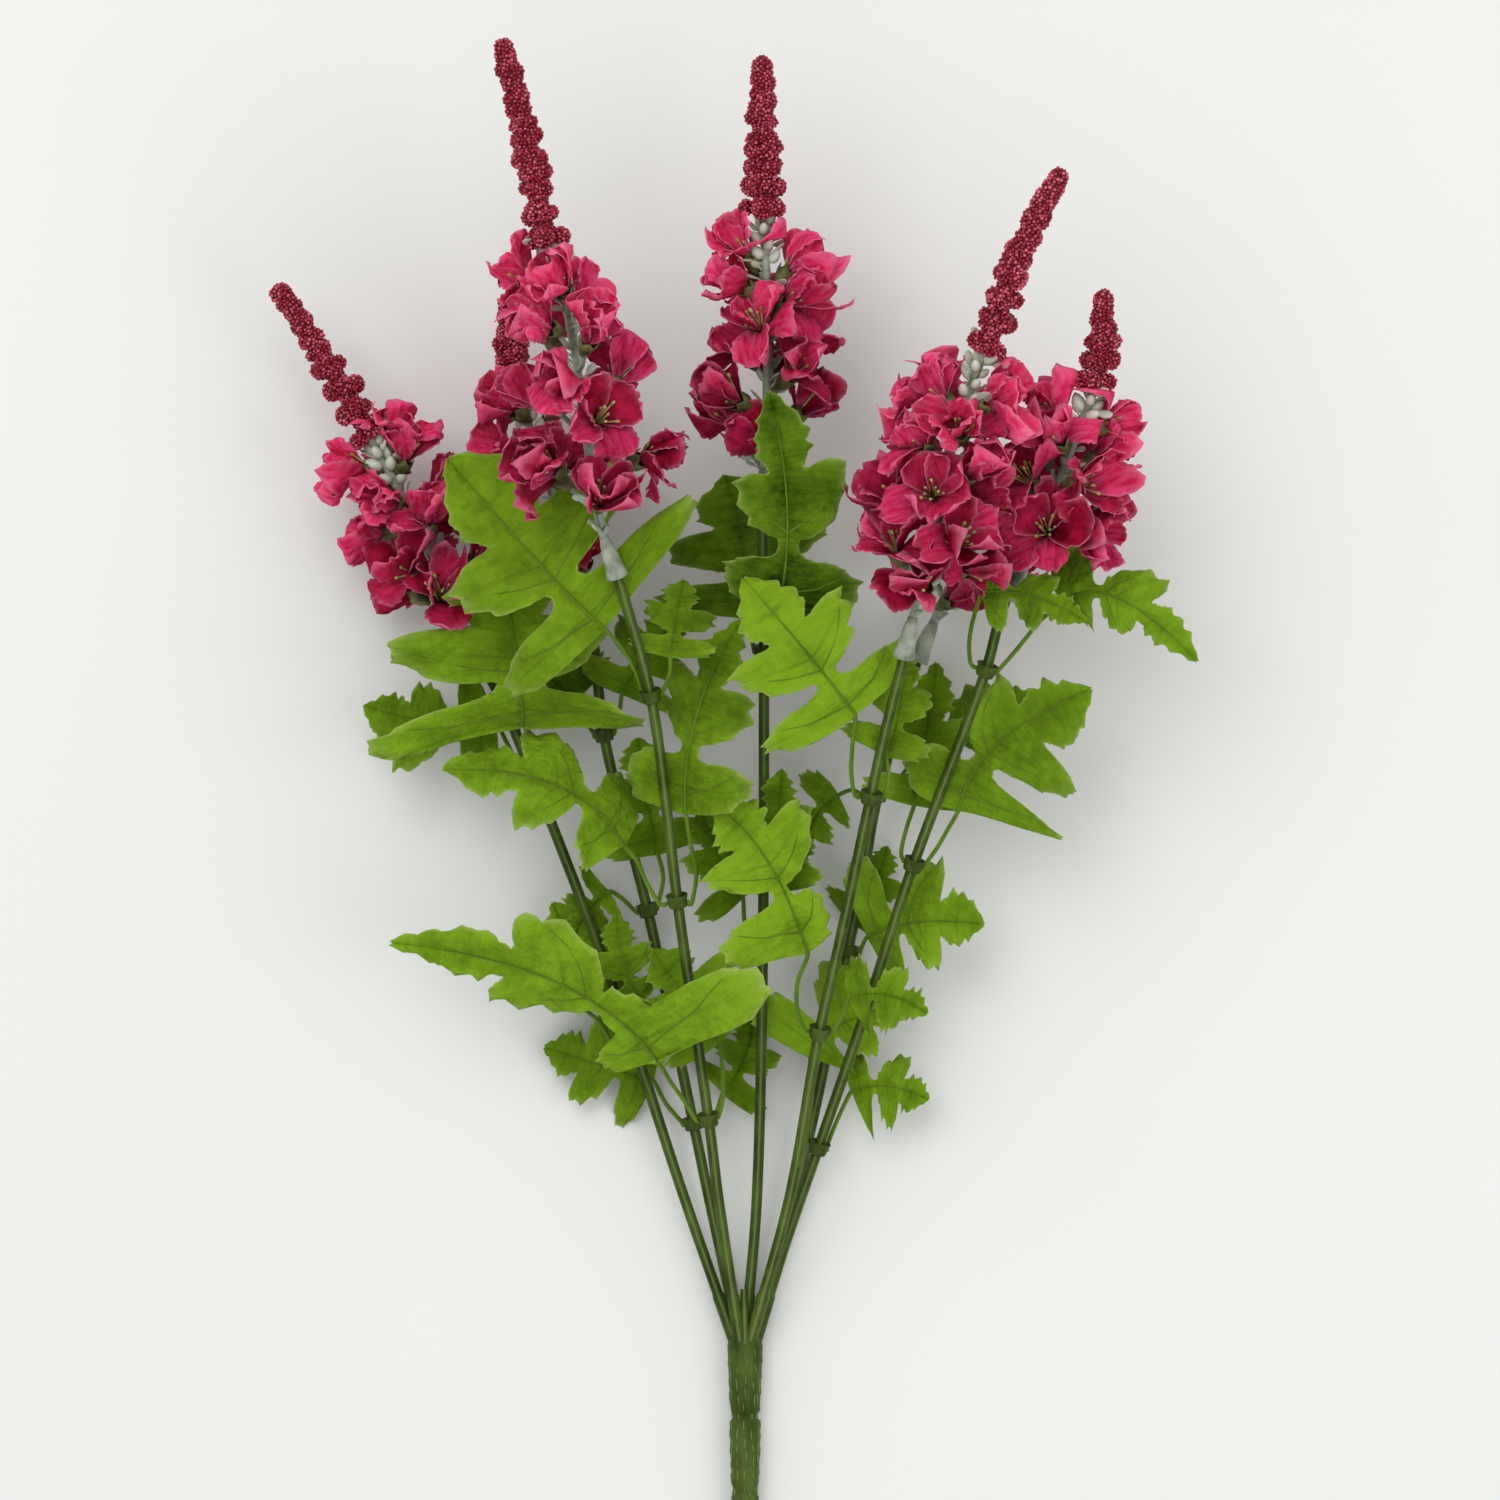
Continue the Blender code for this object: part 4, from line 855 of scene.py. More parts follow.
def petalGrid(spike, place, k, rng):
    rows, cols = petal["rows"], petal["columns"]
    u, v = np.meshgrid(np.linspace(-1, 1, cols), np.linspace(0, 1, rows) ** 0.85)
    aim = np.array(place["face"])
    across, above = (np.array(d) for d in sideDirections(place["face"]))
    angle = place["turn"] + math.tau * (k + petal["looseTurn"] * rng.uniform(-1, 1)) / petal["count"]
    radial = across * math.cos(angle) + above * math.sin(angle)
    tangent = np.cross(aim, radial)
    pick = rng.random()
    habit = petal["habits"][sum(pick > share for share in petal["mix"])]  # open, upright or folded back
    low, high = (math.radians(rng.uniform(*span)) for span in habit)
    size = min(1.0, place["reach"] / floretPlan["full"]) ** 0.4
    length = petal["length"] * size * rng.uniform(*petal["lengths"])
    width = petal["width"] * size * rng.uniform(*petal["widths"])
    # the line that the petal's middle follows, out from the throat and up
    steps = np.linspace(0, 1, 33)
    slope = low + (high - low) * steps ** 1.3
    outward, upward = (np.concatenate([[0], np.cumsum(way(slope))[:-1]]) * length / (len(steps) - 1)
                       for way in (np.sin, np.cos))
    notch = rng.uniform(0.0, petal["notch"]) * np.exp(-(u / 0.22) ** 2) * v ** 6
    reach = v * (1 - 0.15 * np.abs(u) ** 2.4 * v ** 2) - notch
    side = width / 2 * np.interp(v, *petal["outline"]) * u
    lean = np.interp(reach, steps, slope)
    cup = rng.uniform(*petal["cupped"])
    phase = rng.uniform(0, math.tau)
    waves = rng.uniform(*petal["waves"])
    lift = cup * u ** 2 * (0.3 + v) + petal["ruffle"] * rng.uniform(0.3, 1.0) * v ** 2 * (
        np.sin(waves * u + phase) + 0.5 * np.sin(2.3 * waves * u + 1.7 * phase))
    lift = lift + petal["twist"] * rng.uniform(-1, 1) * u * v ** 1.5
    # the cloth is crumpled by the hand: short creases that cross each other
    for _ in range(petal["creases"]):
        way, pace = rng.uniform(0, math.pi), rng.uniform(*petal["creasePace"])
        ridge = np.sin((side * math.cos(way) + v * length * math.sin(way)) * pace + rng.uniform(0, math.tau))
        lift = lift + petal["crinkle"] * (1 - 2 * np.abs(ridge)) * v
    # only the points of the cut edge are frayed
    jag = np.array([rng.uniform(-1, 0.7) for _ in range(rows * cols)]).reshape(rows, cols)
    jag = jag * petal["fray"] * rng.uniform(*petal["jags"]) * np.minimum(1, v * 2.2)
    jag[:-1, 1:-1] = 0
    reach = reach + np.where(v > 0.99, jag / length, 0)
    side = side + np.sign(u) * np.where(v > 0.99, 0.3 * jag, jag)
    normal = aim * np.sin(lean)[..., None] - radial * np.cos(lean)[..., None]
    grid = (np.array(place["throat"]) + radial * (petal["root"] + np.interp(reach, steps, outward))[..., None]
            + aim * np.interp(reach, steps, upward)[..., None] + tangent * side[..., None]
            + normal * lift[..., None])
    grid = keepPetalsClear(spike, grid.reshape(-1, 3)).reshape(rows, cols, 3)
    least, added, power = petal["tone"]
    tone = least + added * place["share"] ** power + rng.uniform(*petal["looseTone"])
    return {"grid": grid, "normals": gridNormals(grid, normal),
            "edge": np.maximum(np.abs(u), (v - 0.12) / 0.88), "along": v,
            "tone": np.full_like(u, min(1, max(0, tone))),
            "cloth": np.stack([side, reach * length], axis=-1)}


def makePetals(spike):
    rng = random.Random("petals " + spike)
    sheets = [petalGrid(spike, place, k, rng) for place in floretPlaces(spike) for k in range(petal["count"])]
    obj = shellObject("petals_" + spike, sheets, petal["thickness"], finishes["petal"])
    return keep(obj, "petal_fabric", "head_" + spike)


# Floral stems: sage stem and socket sleeve, buds, pegs, calyxes and stamens

floral = {
    "radius": 1.75, "swell": (0.88, 1.12), "step": 3.0, "flutes": (6, 0.08), "inSleeve": 12.5,
    "pegRadius": 0.95, "pegSwell": 0.35, "pegEnd": 6.9, "pegSag": 1.5, "pegStep": 1.5,
}
spur = {
    "count": 5, "first": 1, "pitch": 2.6, "firstAngle": 1.0, "aim": (0.75, 0.65), "knee": 3.2,
    "lengths": (5.5, 7.5), "girth": [0.9, 1.15, 0.75],
}
bud = {
    "profile": [(0, 0), (0, 0.72), (0.84, 1.8), (2.45, 2.4), (4.34, 2.16), (6.02, 1.2), (7, 0)],
    "sides": 9, "facet": 1.0, "count": 9, "zone": 17, "top": 1, "looseAngle": 0.3, "aim": 0.85, "offset": 1.6,
    "sizes": (0.8, 1.1), "spread": 0.1, "seed": 7,
}
bract = {
    "profile": [(0, 0), (0, 0.55), (2.975, 0.5), (4.25, 1.36), (6.12, 1.7), (7.82, 1.088), (8.5, 0)],
    "sides": 8, "facet": 0.6, "length": 8.5, "stalk": 0.4, "flat": 0.3, "cup": 0.12, "curl": 0.9,
    "first": 3, "last": 2, "pitch": 3.2, "gaps": (0.7, 1.3), "offset": 1.225, "lean": (0.2, 1.1),
    "sizes": (0.75, 1.25), "spread": 0.1, "seed": 17,
}
calyx = {
    "profile": [(-7.5, 0), (-7.5, 1.0), (-6.0, 1.7), (-3.75, 2.886), (-1.5, 3.515), (1.0, 3.7),
                (0.6, 3.33), (-2.25, 2.59), (-3.75, 0.9), (-3.75, 0)],
    "sides": 10, "length": 7.5, "mouth": -0.3, "sepals": 5, "reach": (-1.2, 2.6), "flare": 0.1,
    "spread": 0.08, "seed": 11,
}
stamen = {
    "profile": [(0, 0), (0, 0.46), (4.725, 0.368), (8.61, 0.345), (9.24, 0.69), (10.185, 0.598),
                (10.5, 0)],
    "sides": 5, "length": 10.5, "curl": 1.1, "count": 8, "lean": (8, 26, 5), "start": (1.0, 0.6),
    "sizes": (0.75, 1.15), "spread": 0.1, "seed": 13,
}


def calyxMesh():
    mesh = lathe("calyx", calyx["profile"], calyx["sides"])
    low, added = calyx["reach"]
    # every other point of the mouth is drawn out into a sepal
    for vert in mesh.vertices:
        if vert.co.z > calyx["mouth"] * calyx["length"] * mm:
            sepal = 0.5 + 0.5 * math.cos(calyx["sepals"] * math.atan2(vert.co.y, vert.co.x))
            vert.co.z += (sepal * added + low) * mm
            vert.co.xy *= 1 + calyx["flare"] * sepal
    return mesh


def stamenMesh():
    mesh = lathe("stamen", stamen["profile"], stamen["sides"])
    for vert in mesh.vertices:
        vert.co.x += stamen["curl"] * mm * (vert.co.z / (stamen["length"] * mm)) ** 2
    return mesh


def bractMesh():
    # a narrow tongue on a short stalk, flat and slightly cupped
    mesh = lathe("bract", bract["profile"], bract["sides"], bract["facet"])
    for vert in mesh.vertices:
        share = vert.co.z / (bract["length"] * mm)
        if share > bract["stalk"]:
            vert.co.y = vert.co.y * bract["flat"] + bract["cup"] * vert.co.x ** 2 / mm
        vert.co.y += bract["curl"] * mm * share ** 2
    return mesh


def stalkPaths(spike, places, rng):
    # the floral stem itself, a peg to each floret, and short spurs above the sleeve
    plan = spikes[spike]
    foot, direction = socketLine(spike)
    top = plan["sleeve"] + sleeve["length"]
    ys = np.arange(top, plan["beads"] + 3, floral["step"])
    paths = [[foot + direction * floral["inSleeve"]] + [routePoint(spike, y) for y in ys]]
    girths = [[floral["radius"] * rng.uniform(*floral["swell"]) for _ in paths[0]]]
    for place in places:
        end = place["throat"] - place["aim"] * floral["pegEnd"]
        sag = (place["root"] + end) / 2 - routeDirection(spike, place["root"].y) * floral["pegSag"]
        path = smoothPath([place["root"], sag, end], floral["pegStep"])
        paths.append(path)
        girths.append([floral["pegRadius"] * (1 + floral["pegSwell"] * (1 - i / len(path)))
                       for i in range(len(path))])
    for k in range(spur["count"]):
        y = top + spur["first"] + spur["pitch"] * k
        along = routeDirection(spike, y)
        out = outwardAt(along, goldenAngle * k + spur["firstAngle"]) * spur["aim"][0] + along * spur["aim"][1]
        root = routePoint(spike, y)
        paths.append([root, root + out * spur["knee"], root + out * rng.uniform(*spur["lengths"])])
        girths.append(spur["girth"])
    return paths, girths


def budPlaces(spike, rng):
    places = []
    for k in range(bud["count"]):
        y = spikes[spike]["beads"] - bud["top"] - bud["zone"] * (1 - (k + 0.5) / bud["count"])
        along = routeDirection(spike, y)
        out = outwardAt(along, goldenAngle * k + bud["looseAngle"] * rng.uniform(-1, 1))
        aim = (out * bud["aim"] + along).normalized()
        places.append(copyPlace(routePoint(spike, y) + out * bud["offset"], aim, bud, rng))
    return places


def bractPlaces(spike, rng):
    places = []
    y = spikes[spike]["sleeve"] + sleeve["length"] + bract["first"]
    while y < spikes[spike]["beads"] + bract["last"]:
        along = routeDirection(spike, y)
        out = outwardAt(along, rng.uniform(0, math.tau))
        aim = (out + along * rng.uniform(*bract["lean"])).normalized()
        places.append(copyPlace(routePoint(spike, y) + out * bract["offset"], aim, bract, rng))
        y += bract["pitch"] * rng.uniform(*bract["gaps"])
    return places


def stamenPlaces(florets, rng):
    inner, added, loose = stamen["lean"]
    sunk, aside = stamen["start"]
    places = []
    for floret in florets:
        for k in range(stamen["count"]):
            out = outwardAt(floret["face"], goldenAngle * k + floret["turn"])
            lean = math.radians(inner + added * (k / stamen["count"]) + loose * rng.uniform(-1, 1))
            aim = floret["face"] * math.cos(lean) + out * math.sin(lean)
            start = floret["throat"] - floret["face"] * sunk + out * aside
            places.append(copyPlace(start, aim, stamen, rng))
    return places


def makeFloralStem(spike):
    rng = random.Random("floral stem " + spike)
    florets = floretPlaces(spike)
    cups = [(floret["throat"], floret["face"], floret["turn"], 1.0) for floret in florets]
    budMesh = lathe("bud", bud["profile"], bud["sides"], bud["facet"])
    sage = finishes["sage"]
    parts = [turnedPiece("sleeve", sleeve["profile"], sleeve["sides"], *socketLine(spike), sage),
             bars("stalks", *stalkPaths(spike, florets, rng), floral["flutes"], sage),
             copies("buds", budMesh, budPlaces(spike, rng), bud, sage),
             copies("bracts", bractMesh(), bractPlaces(spike, rng), bract, sage),
             copies("calyxes", calyxMesh(), cups, calyx, finishes["calyx"]),
             copies("stamens", stamenMesh(), stamenPlaces(florets, rng), stamen, finishes["stamen"])]
    return keep(joinObjects("floralStem_" + spike, parts), "stem_plastic", "head_" + spike)


# Bead tips. ring, ball, core, pitch and count: at the foot and at the end of a tip.

tips = {
    "ring": (5.6, 1.5), "ball": (3.6, 2.6), "core": (3.4, 3.5), "pitch": (9.8, 3.0), "count": (5, 4),
    "foot": 3.4, "end": 3.4, "loose": 1.6, "looseAngle": 0.25, "bulks": (0.82, 1.1),
    "reaches": (0.78, 1.14), "sizes": (0.72, 1.12), "gaps": (0.8, 1.15), "voxel": 1.0, "threshold": 0.1,
    "beadPitch": 1.22, "crowding": 5.0, "beadRadius": 0.66, "beadFaces": (6, 4), "spread": 0.2,
    "tones": (0.15, 1.0, 5),
}


def makeBeadSpike(spike, seed):
    plan = spikes[spike]
    rng = random.Random("beads " + spike)
    first, last = plan["beads"] + tips["foot"], plan["route"][-1][1] - tips["end"]
    balls = []
    radii = []

    def at(key, share):
        return tips[key][0] + (tips[key][1] - tips[key][0]) * share

    y = first
    while y < last:
        share = (y - first) / (last - first)
        direction = routeDirection(spike, y)
        count = tips["count"][0 if share < 0.5 else 1]
        turn = rng.uniform(0, math.tau)
        bulk = rng.uniform(*tips["bulks"])
        for k in range(count):
            angle = turn + math.tau * k / count + tips["looseAngle"] * rng.uniform(-1, 1)
            centre = routePoint(spike, y + rng.uniform(-1, 1) * tips["loose"])
            balls.append(centre + outwardAt(direction, angle) * at("ring", share ** 1.2) * bulk
                         * rng.uniform(*tips["reaches"]))
            radii.append(at("ball", share) * rng.uniform(*tips["sizes"]))
        y += at("pitch", share ** 0.8) * rng.uniform(*tips["gaps"])
    # the core that the clusters sit on
    y = first
    while y < last + 0.5:
        balls.append(routePoint(spike, y))
        radii.append(at("core", (y - first) / (last - first)))
        y += 1.0
    mesh = pointMesh("clusters", balls)
    setAttribute(mesh, "girth", [r * mm for r in radii])
    obj = applyTree("beadSpike_" + spike, mesh, trees["beads"],
                    {"Voxel": tips["voxel"] * mm, "Pitch": tips["beadPitch"] * mm,
                     "Bead radius": tips["beadRadius"] * mm, "Size spread": tips["spread"], "Seed": seed,
                     "Finish": finishes["bead"]})
    return keep(obj, "bead_coat", "beads_" + spike)


# Leaves

leafPlan = {
    "thickness": 0.34, "columns": (0.07, 0.25, 0.45, 0.65, 0.85, 1.0), "split": 3, "serration": 0.55,
    "teeth": (0.2, 2.0), "serrations": (-0.6, 1.2), "jag": 1.25, "bendShading": 0.3, "sway": 0.07,
    "keel": (-0.06, 0.3), "arch": 0.06, "lift": 3.0, "droop": 6.5, "wave": 3.4, "bend": 0.4,
    "groove": 0.35, "bladeRoot": 0.5, "lobeRoot": 0.13, "slimTo": 0.27, "floor": 0.5, "softBand": 3,
    "fitAt": (0.13, 0.28, 0.54, 0.76, 1.0), "petioleRadius": 0.9, "ribRadius": 0.62, "ribTaper": 0.55,
    "ribOffset": (0.42, 0.3), "ribEnd": 0.86, "ribPoints": 9, "ribStart": 0.05,
    "sideRibs": ((5, 9, 0.45), (18, 23, 0.35)), "sideOffset": (0.22, 0.05), "sideTaper": 0.7, "step": 1.6,
    "frontRise": 8, "flutes": (5, 0.12),
}
collar = {
    "height": 5, "bore": 2.8, "sides": 20,
    "profile": [(0, 0), (0, 3.3), (0.6, 3.6), (2.4, 3.7), (3.8, 3.95), (4.7, 4.35), (5.0, 4.2), (4.6, 3.6),
                (4.2, 2.3), (4.2, 0)],
}
bladeLifts = [0, 5, -5, 10, -10, 15, -15, 20, -20, 26, -26, 32, -32, 38, -38, 46, -46]
baseLifts = [0, 4, -4, 8, -8, 12, -12, 17, -17]
# half of a blade's outline: place on the midrib, place of the edge, share of the width, tooth, vein
bladeEdge = [
    (0.00, 0.00, 0.02, 0, 0), (0.02, 0.01, 0.16, 0, 0), (0.04, 0.025, 0.40, 0.3, 0),
    (0.06, 0.035, 0.66, -0.5, 0), (0.08, 0.05, 0.82, 0.6, 0), (0.10, 0.075, 0.93, -0.7, 0),
    (0.12, 0.11, 1.01, 0.8, 0), (0.14, 0.15, 1.05, -0.6, 1), (0.16, 0.19, 1.02, 0.8, 0),
    (0.18, 0.22, 0.92, -0.8, 0), (0.20, 0.25, 0.80, 0.7, 0), (0.215, 0.27, 0.68, -0.5, 0),
    (0.23, 0.28, 0.54, 0.3, 0), (0.245, 0.28, 0.40, 0, 0), (0.265, 0.29, 0.27, 0, 0),
    (0.29, 0.31, 0.18, 0, 0), (0.33, 0.345, 0.15, 0, 0), (0.365, 0.37, 0.18, 0, 0),
    (0.39, 0.385, 0.31, 0.3, 0), (0.41, 0.41, 0.47, -0.6, 0), (0.43, 0.45, 0.60, 0.8, 0),
    (0.45, 0.50, 0.72, -0.9, 0), (0.47, 0.56, 0.79, 0.9, 0), (0.49, 0.62, 0.84, -0.8, 1),
    (0.51, 0.665, 0.82, 0.9, 0), (0.53, 0.69, 0.71, -0.7, 0), (0.55, 0.695, 0.57, 0.4, 0),
    (0.575, 0.69, 0.43, 0, 0), (0.60, 0.68, 0.33, 0, 0), (0.635, 0.685, 0.27, 0, 0),
    (0.67, 0.70, 0.28, 0.3, 0), (0.70, 0.725, 0.35, -0.6, 0), (0.735, 0.76, 0.40, 0.8, 0),
    (0.77, 0.79, 0.41, -0.8, 0), (0.80, 0.83, 0.40, 0.7, 1), (0.84, 0.87, 0.35, -0.8, 0),
    (0.88, 0.905, 0.29, 0.6, 0), (0.92, 0.94, 0.21, -0.5, 0), (0.96, 0.975, 0.12, 0.3, 0),
    (1.00, 1.01, 0.01, 0, 0),
]
sinuses = (0.31, 0.63)  # where one pair of lobes ends and the next begins
upperLobes = 0.35


def bladeFrame(leaf, baseZ, tipZ):
    base = Vector((*leaf["base"], baseZ))
    tip = Vector((*leaf["tip"], tipZ))
    middle = Vector((*leaf["middle"], (baseZ + tipZ) / 2 + leafPlan["arch"] * (tip - base).length))
    pull = 2 * middle - (base + tip) / 2

    def spot(s):
        return base * (1 - s)**2 + pull * 2 * s * (1 - s) + tip * s**2

    def directions(s):
        along = ((pull - base) * (1 - s) + (tip - pull) * s).normalized()
        side = up.cross(along).normalized()
        face = along.cross(side)
        roll = math.radians(leaf["roll"])
        return side * math.cos(roll) + face * math.sin(roll), face * math.cos(roll) - side * math.sin(roll)

    return spot, directions


def leafHeights(pair, leaf, tree):
    # the CAD leaf was lifted clear of its neighbours, so the heights that fit it best are looked for
    stemZ = routePoint(pair["spike"], pair["y"]).z
    best = None
    for base in baseLifts:
        for tip in bladeLifts:
            baseZ = stemZ + leaf["rise"][0] + base
            tipZ = stemZ + leaf["rise"][1] + base + tip
            spot, directions = bladeFrame(leaf, baseZ, tipZ)
            miss = sum(tree.find_nearest(spot(s) * mm)[3] for s in leafPlan["fitAt"])
            if best is None or miss < best[0]:
                best = (miss, baseZ, tipZ)
    return best


def pairJoint(pair):
    return routePoint(pair["spike"], pair["y"]), routeDirection(pair["spike"], pair["y"])


def petiolePath(pair, leaf, baseZ, spot):
    centre, direction = pairJoint(pair)
    first = leaf["petiole"][0]
    outward = Vector((first[0] - centre.x, first[1] - centre.y, 0))
    outward = (outward - direction * outward.dot(direction)).normalized()
    start = centre + outward * (collar["bore"] + 1.0) + direction * collar["height"] * 0.4
    path = [start]
    count = len(leaf["petiole"])
    for i, (x, y) in enumerate(leaf["petiole"]):
        share = ((i + 1) / (count + 1))**1.3
        path.append(Vector((x, y, start.z + (baseZ - start.z) * share)))
    return path + [spot(0)]


def bladeGrid(leaf, tone, spot, directions, rng):
    split = leafPlan["split"]
    rows = [[p + (q - p) * (k / split) for p, q in zip(a, b)]
            for a, b in zip(bladeEdge, bladeEdge[1:]) for k in range(split)] + [bladeEdge[-1]]
    # every tooth has its own size
    teeth = [[rng.uniform(*leafPlan["teeth"]) for _ in range(len(bladeEdge) + 1)] for _ in range(2)]
    keel = rng.uniform(*leafPlan["keel"])
    columns = leafPlan["columns"]
    fractions = [-f for f in reversed(columns)] + [0] + list(columns)
    phases = [rng.uniform(0, math.tau) for _ in range(4)]
    bends = [[rng.uniform(-1, 1) for _ in range(len(sinuses) + 1)] for _ in range(2)]
    ways = [[rng.uniform(-0.5, 1) for _ in range(len(sinuses) + 1)] for _ in range(2)]
    length = (spot(1) - spot(0)).length
    sheet = {label: np.zeros((len(rows), len(fractions), *more)) for label, more in
             {"grid": [3], "normals": [3], "edge": [], "vein": [], "tone": [], "cloth": [2]}.items()}
    for i, (middle, place, share, tooth, veined) in enumerate(rows):
        lobe = sum(middle > sinus for sinus in sinuses)
        part = "upper" if middle > upperLobes else "lower"
        narrow = leaf.get("slim", 1) if lobe == 0 and middle < leafPlan["slimTo"] else 1
        root = leafPlan["lobeRoot"]
        for j, f in enumerate(fractions):
            left = f < 0
            width = leaf["widths"][1 - left] * leaf.get(part, (1, 1))[1 - left]
            jag = leafPlan["jag"] * tooth * teeth[left][(i + 1) // split] * (0.7 + min(width, 30) / 60)
            loose = rng.uniform(*leafPlan["serrations"])
            jag += leafPlan["serration"] * loose * (share > 0.3) * (abs(f) == 1)
            reach = max(width * share * abs(f), leafPlan["bladeRoot"] * abs(f)) + jag * abs(f) ** 8
            aside = reach if left else -reach
            s = middle + (root + (place - root) * narrow - middle) * abs(f)
            s += leafPlan["sway"] * ways[left][lobe] * (share * abs(f)) ** 2 * min(1, 4 * middle)
            sideWay, face = directions(s)
            x = share * abs(f)
            wave = leafPlan["wave"] * (0.4 + width / 40)
            ripple = wave * x ** 1.4 * math.sin(9 * s + phases[left] + 2.2 * x)
            ripple += 0.35 * wave * abs(f) ** 3 * math.sin(31 * s + phases[2 + left])
            lift = leafPlan["lift"] * x - leafPlan["droop"] * x**2 + ripple
            lift += width * (leafPlan["bend"] * bends[left][lobe] * x ** 2 + keel * x)
            if f == 0:
                lift -= leafPlan["groove"]
            sheet["grid"][i, j] = spot(s) + sideWay * aside + face * lift
            sheet["normals"][i, j] = face
            sheet["edge"][i, j] = abs(f) if share > 0.03 else 1
            # lobes bent up are painted lighter and lobes bent down darker: painted light and shade that
            # follow the bend
            sheet["tone"][i, j] = tone + leafPlan["bendShading"] * bends[left][lobe] * x
            sheet["vein"][i, j] = 1 if f == 0 else veined * max(0, 1 - 0.7 * abs(f)) if veined > 0.6 else 0
            sheet["cloth"][i, j] = (aside, s * length)
    heights = sheet["grid"][..., 2]
    heights[:] = -softLimit(-heights, -leafPlan["floor"], leafPlan["softBand"])
    return {label: values[:, ::-1] for label, values in sheet.items()}


def midrib(pair, leaf, baseZ, spot, directions, front):
    # the petiole runs on along the blade and thins towards its tip
    outer, sunk = leafPlan["ribOffset"]
    ribs = [s * leafPlan["ribEnd"] / leafPlan["ribPoints"] for s in range(1, leafPlan["ribPoints"] + 1)]
    path = petiolePath(pair, leaf, baseZ, spot)
    path += [spot(s) + directions(s)[1] * (front * outer - sunk) for s in ribs]
    path = smoothPath(path, leafPlan["step"])
    bare = min(range(len(path)), key=lambda i: (path[i] - spot(leafPlan["ribStart"])).length)
    taper = leafPlan["ribTaper"] / (len(path) - bare)
    return path, [leafPlan["petioleRadius"] if i < bare else leafPlan["ribRadius"] * (1 - taper * (i - bare))
                  for i in range(len(path))]


def sideRibs(sheet, front):
    # side ribs run over the blade, each from one row of its outline to a later one
    outer, sunk = leafPlan["sideOffset"]
    middle = len(leafPlan["columns"])
    for first, last, thick in leafPlan["sideRibs"]:
        for way in (1, -1):
            rib = []
            for k in range(middle):
                row = round((first + (last - first) * k / (middle - 1)) * leafPlan["split"])
                cell = row, middle + way * k
                rib.append(Vector(sheet["grid"][cell] + sheet["normals"][cell] * (front * outer - sunk)))
            path = smoothPath(rib, leafPlan["step"])
            yield path, [thick * (1 - leafPlan["sideTaper"] * k / len(path)) for k in range(len(path))]


def makeLeafPair(name, pair):
    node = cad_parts["leaves_" + name]
    tree = BVHTree.FromPolygons([v.co for v in node.data.vertices],
                                [tuple(p.vertices) for p in node.data.polygons])
    rng = random.Random("leaf " + name)
    sheets = []
    stalks = []
    for leaf, tone in zip(pair["leaves"], pair["tones"]):
        miss, baseZ, tipZ = leafHeights(pair, leaf, tree)
        print("leaf", name, "fits to", round(miss / len(leafPlan["fitAt"]) / mm, 2), "mm")
        spot, directions = bladeFrame(leaf, baseZ, tipZ)
        sheets.append(bladeGrid(leaf, tone, spot, directions, rng))
        front = 1 if leaf["rise"][0] >= leafPlan["frontRise"] else -1
        stalks += [midrib(pair, leaf, baseZ, spot, directions, front), *sideRibs(sheets[-1], front)]
    keep(shellObject("blades_" + name, sheets, leafPlan["thickness"], finishes["leaf"]), "leaf_fabric",
         "leaves_" + name)
    parts = [turnedPiece("collar", collar["profile"], collar["sides"], *pairJoint(pair), finishes["stem"]),
             bars("petioles", *zip(*stalks), leafPlan["flutes"], finishes["rib"])]
    keep(joinObjects("stalks_" + name, parts), "stem_plastic", "leaves_" + name)


# Camera, floor and light

shot = {"centre": (6.7, 21.6), "width": 577.5, "height": 70, "distance": 6000, "sensor": 36, "farthest": 50}
studio = {
    "size": 8, "floor": tint(232, 233, 231), "roughness": 0.9, "patches": (3, 2, 0.2, 0.8), "darker": 0.97,
    "air": tint(242, 243, 241), "airStrength": 0.82, "key": ((-700, 1100, 2400), 1900, 25),
    "fill": ((1300, -500, 1700), 1500, 8),
}


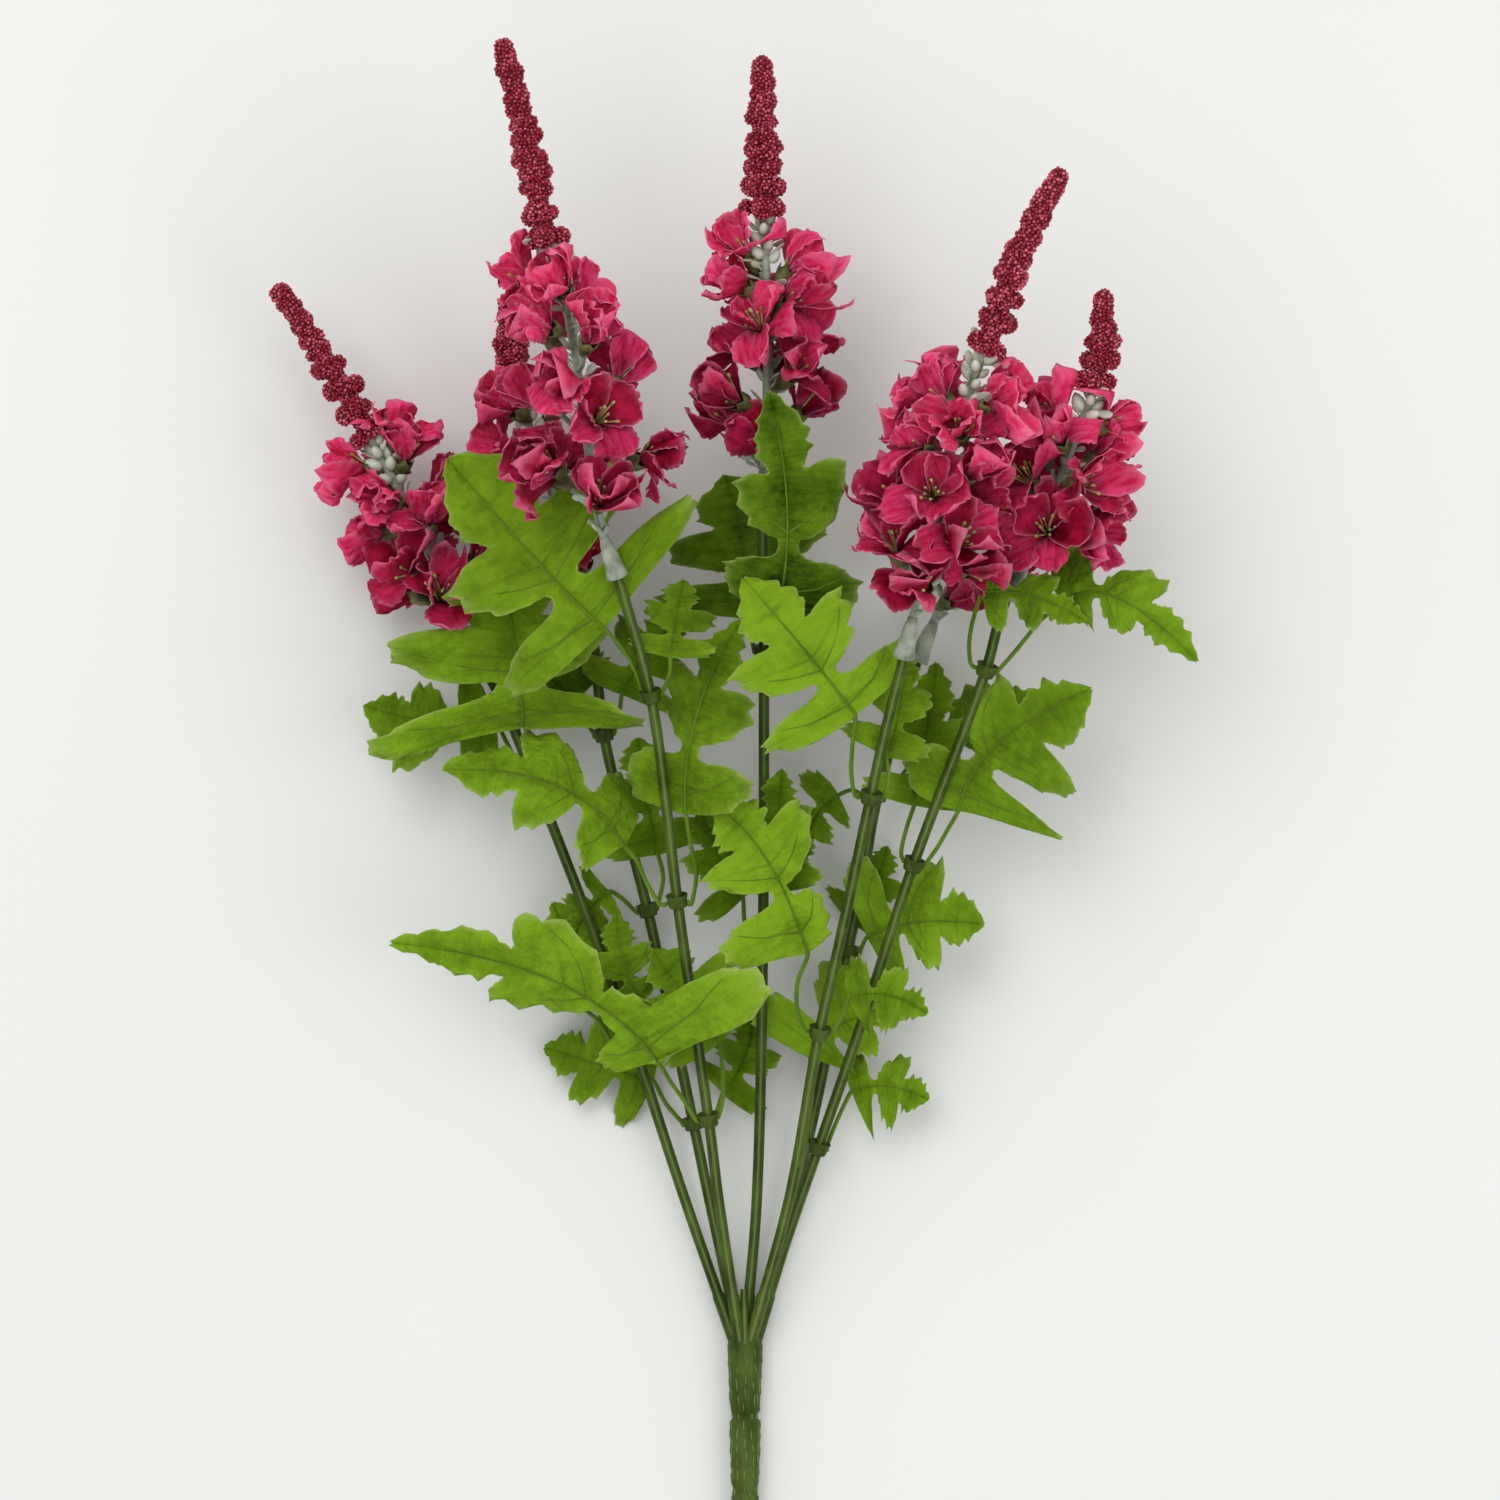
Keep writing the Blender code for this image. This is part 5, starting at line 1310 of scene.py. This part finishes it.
def makeShot():
    camera = bpy.data.cameras.new("camera")
    camera.sensor_width = shot["sensor"]
    camera.lens = shot["sensor"] * shot["distance"] / shot["width"]
    camera.clip_end = shot["farthest"]
    view = addObject("camera", camera)
    view.location = (shot["centre"][0] * mm, shot["centre"][1] * mm, (shot["height"] + shot["distance"]) * mm)
    bpy.context.scene.camera = view
    bpy.context.scene.view_settings.view_transform = "Standard"


def makeFloor():
    bpy.ops.mesh.primitive_plane_add(size=studio["size"], location=(0, 0, 0))
    floor = bpy.context.object
    floor.name = "floor"
    material, tree, shader, place = newFinish("paleFloor", studio)
    darker = tuple(c * studio["darker"] for c in studio["floor"][:3]) + (1,)
    colour = mixColours(tree, noiseValue(tree, place, *studio["patches"]), darker, studio["floor"])
    tree.links.new(colour, shader.inputs["Base Color"])
    floor.data.materials.append(material)


def makeLight():
    world = bpy.data.worlds.new("studio air")
    world.use_nodes = True
    air = world.node_tree.nodes["Background"]
    air.inputs["Color"].default_value = studio["air"]
    air.inputs["Strength"].default_value = studio["airStrength"]
    bpy.context.scene.world = world
    for name in ("key", "fill"):
        place, size, power = studio[name]
        lamp = bpy.data.lights.new(name, "AREA")
        lamp.shape = "DISK"
        lamp.size = size * mm
        lamp.energy = power
        light = addObject(name, lamp)
        light.location = Vector(place) * mm
        light.rotation_euler = (-light.location).to_track_quat("-Z", "Y").to_euler()
        light.visible_camera = False


finishes = {"petal": petalFinish(petalLook), "leaf": leafFinish(leafLook),
            "stem": greenPlastic("stemPlastic", stemLook), "rib": greenPlastic("ribPlastic", ribLook),
            "sage": sageFinish(sageLook), "calyx": mottledFinish("calyxPlastic", calyxLook),
            "stamen": mottledFinish("stamenPlastic", stamenLook), "bead": beadFinish(beadLook)}
trees = {"bar": barTree(), "copies": copiesTree(), "beads": beadTree()}

makeShot()
makeFloor()
makeLight()
makeMoulding()
print("stem moulding made")
for number, spikeName in enumerate(spikes):
    makePetals(spikeName)
    makeFloralStem(spikeName)
    makeBeadSpike(spikeName, number + 1)
    print("spike", spikeName, "made")
for pairName, leafPair in leafPairs.items():
    makeLeafPair(pairName, leafPair)
print("leaves made")
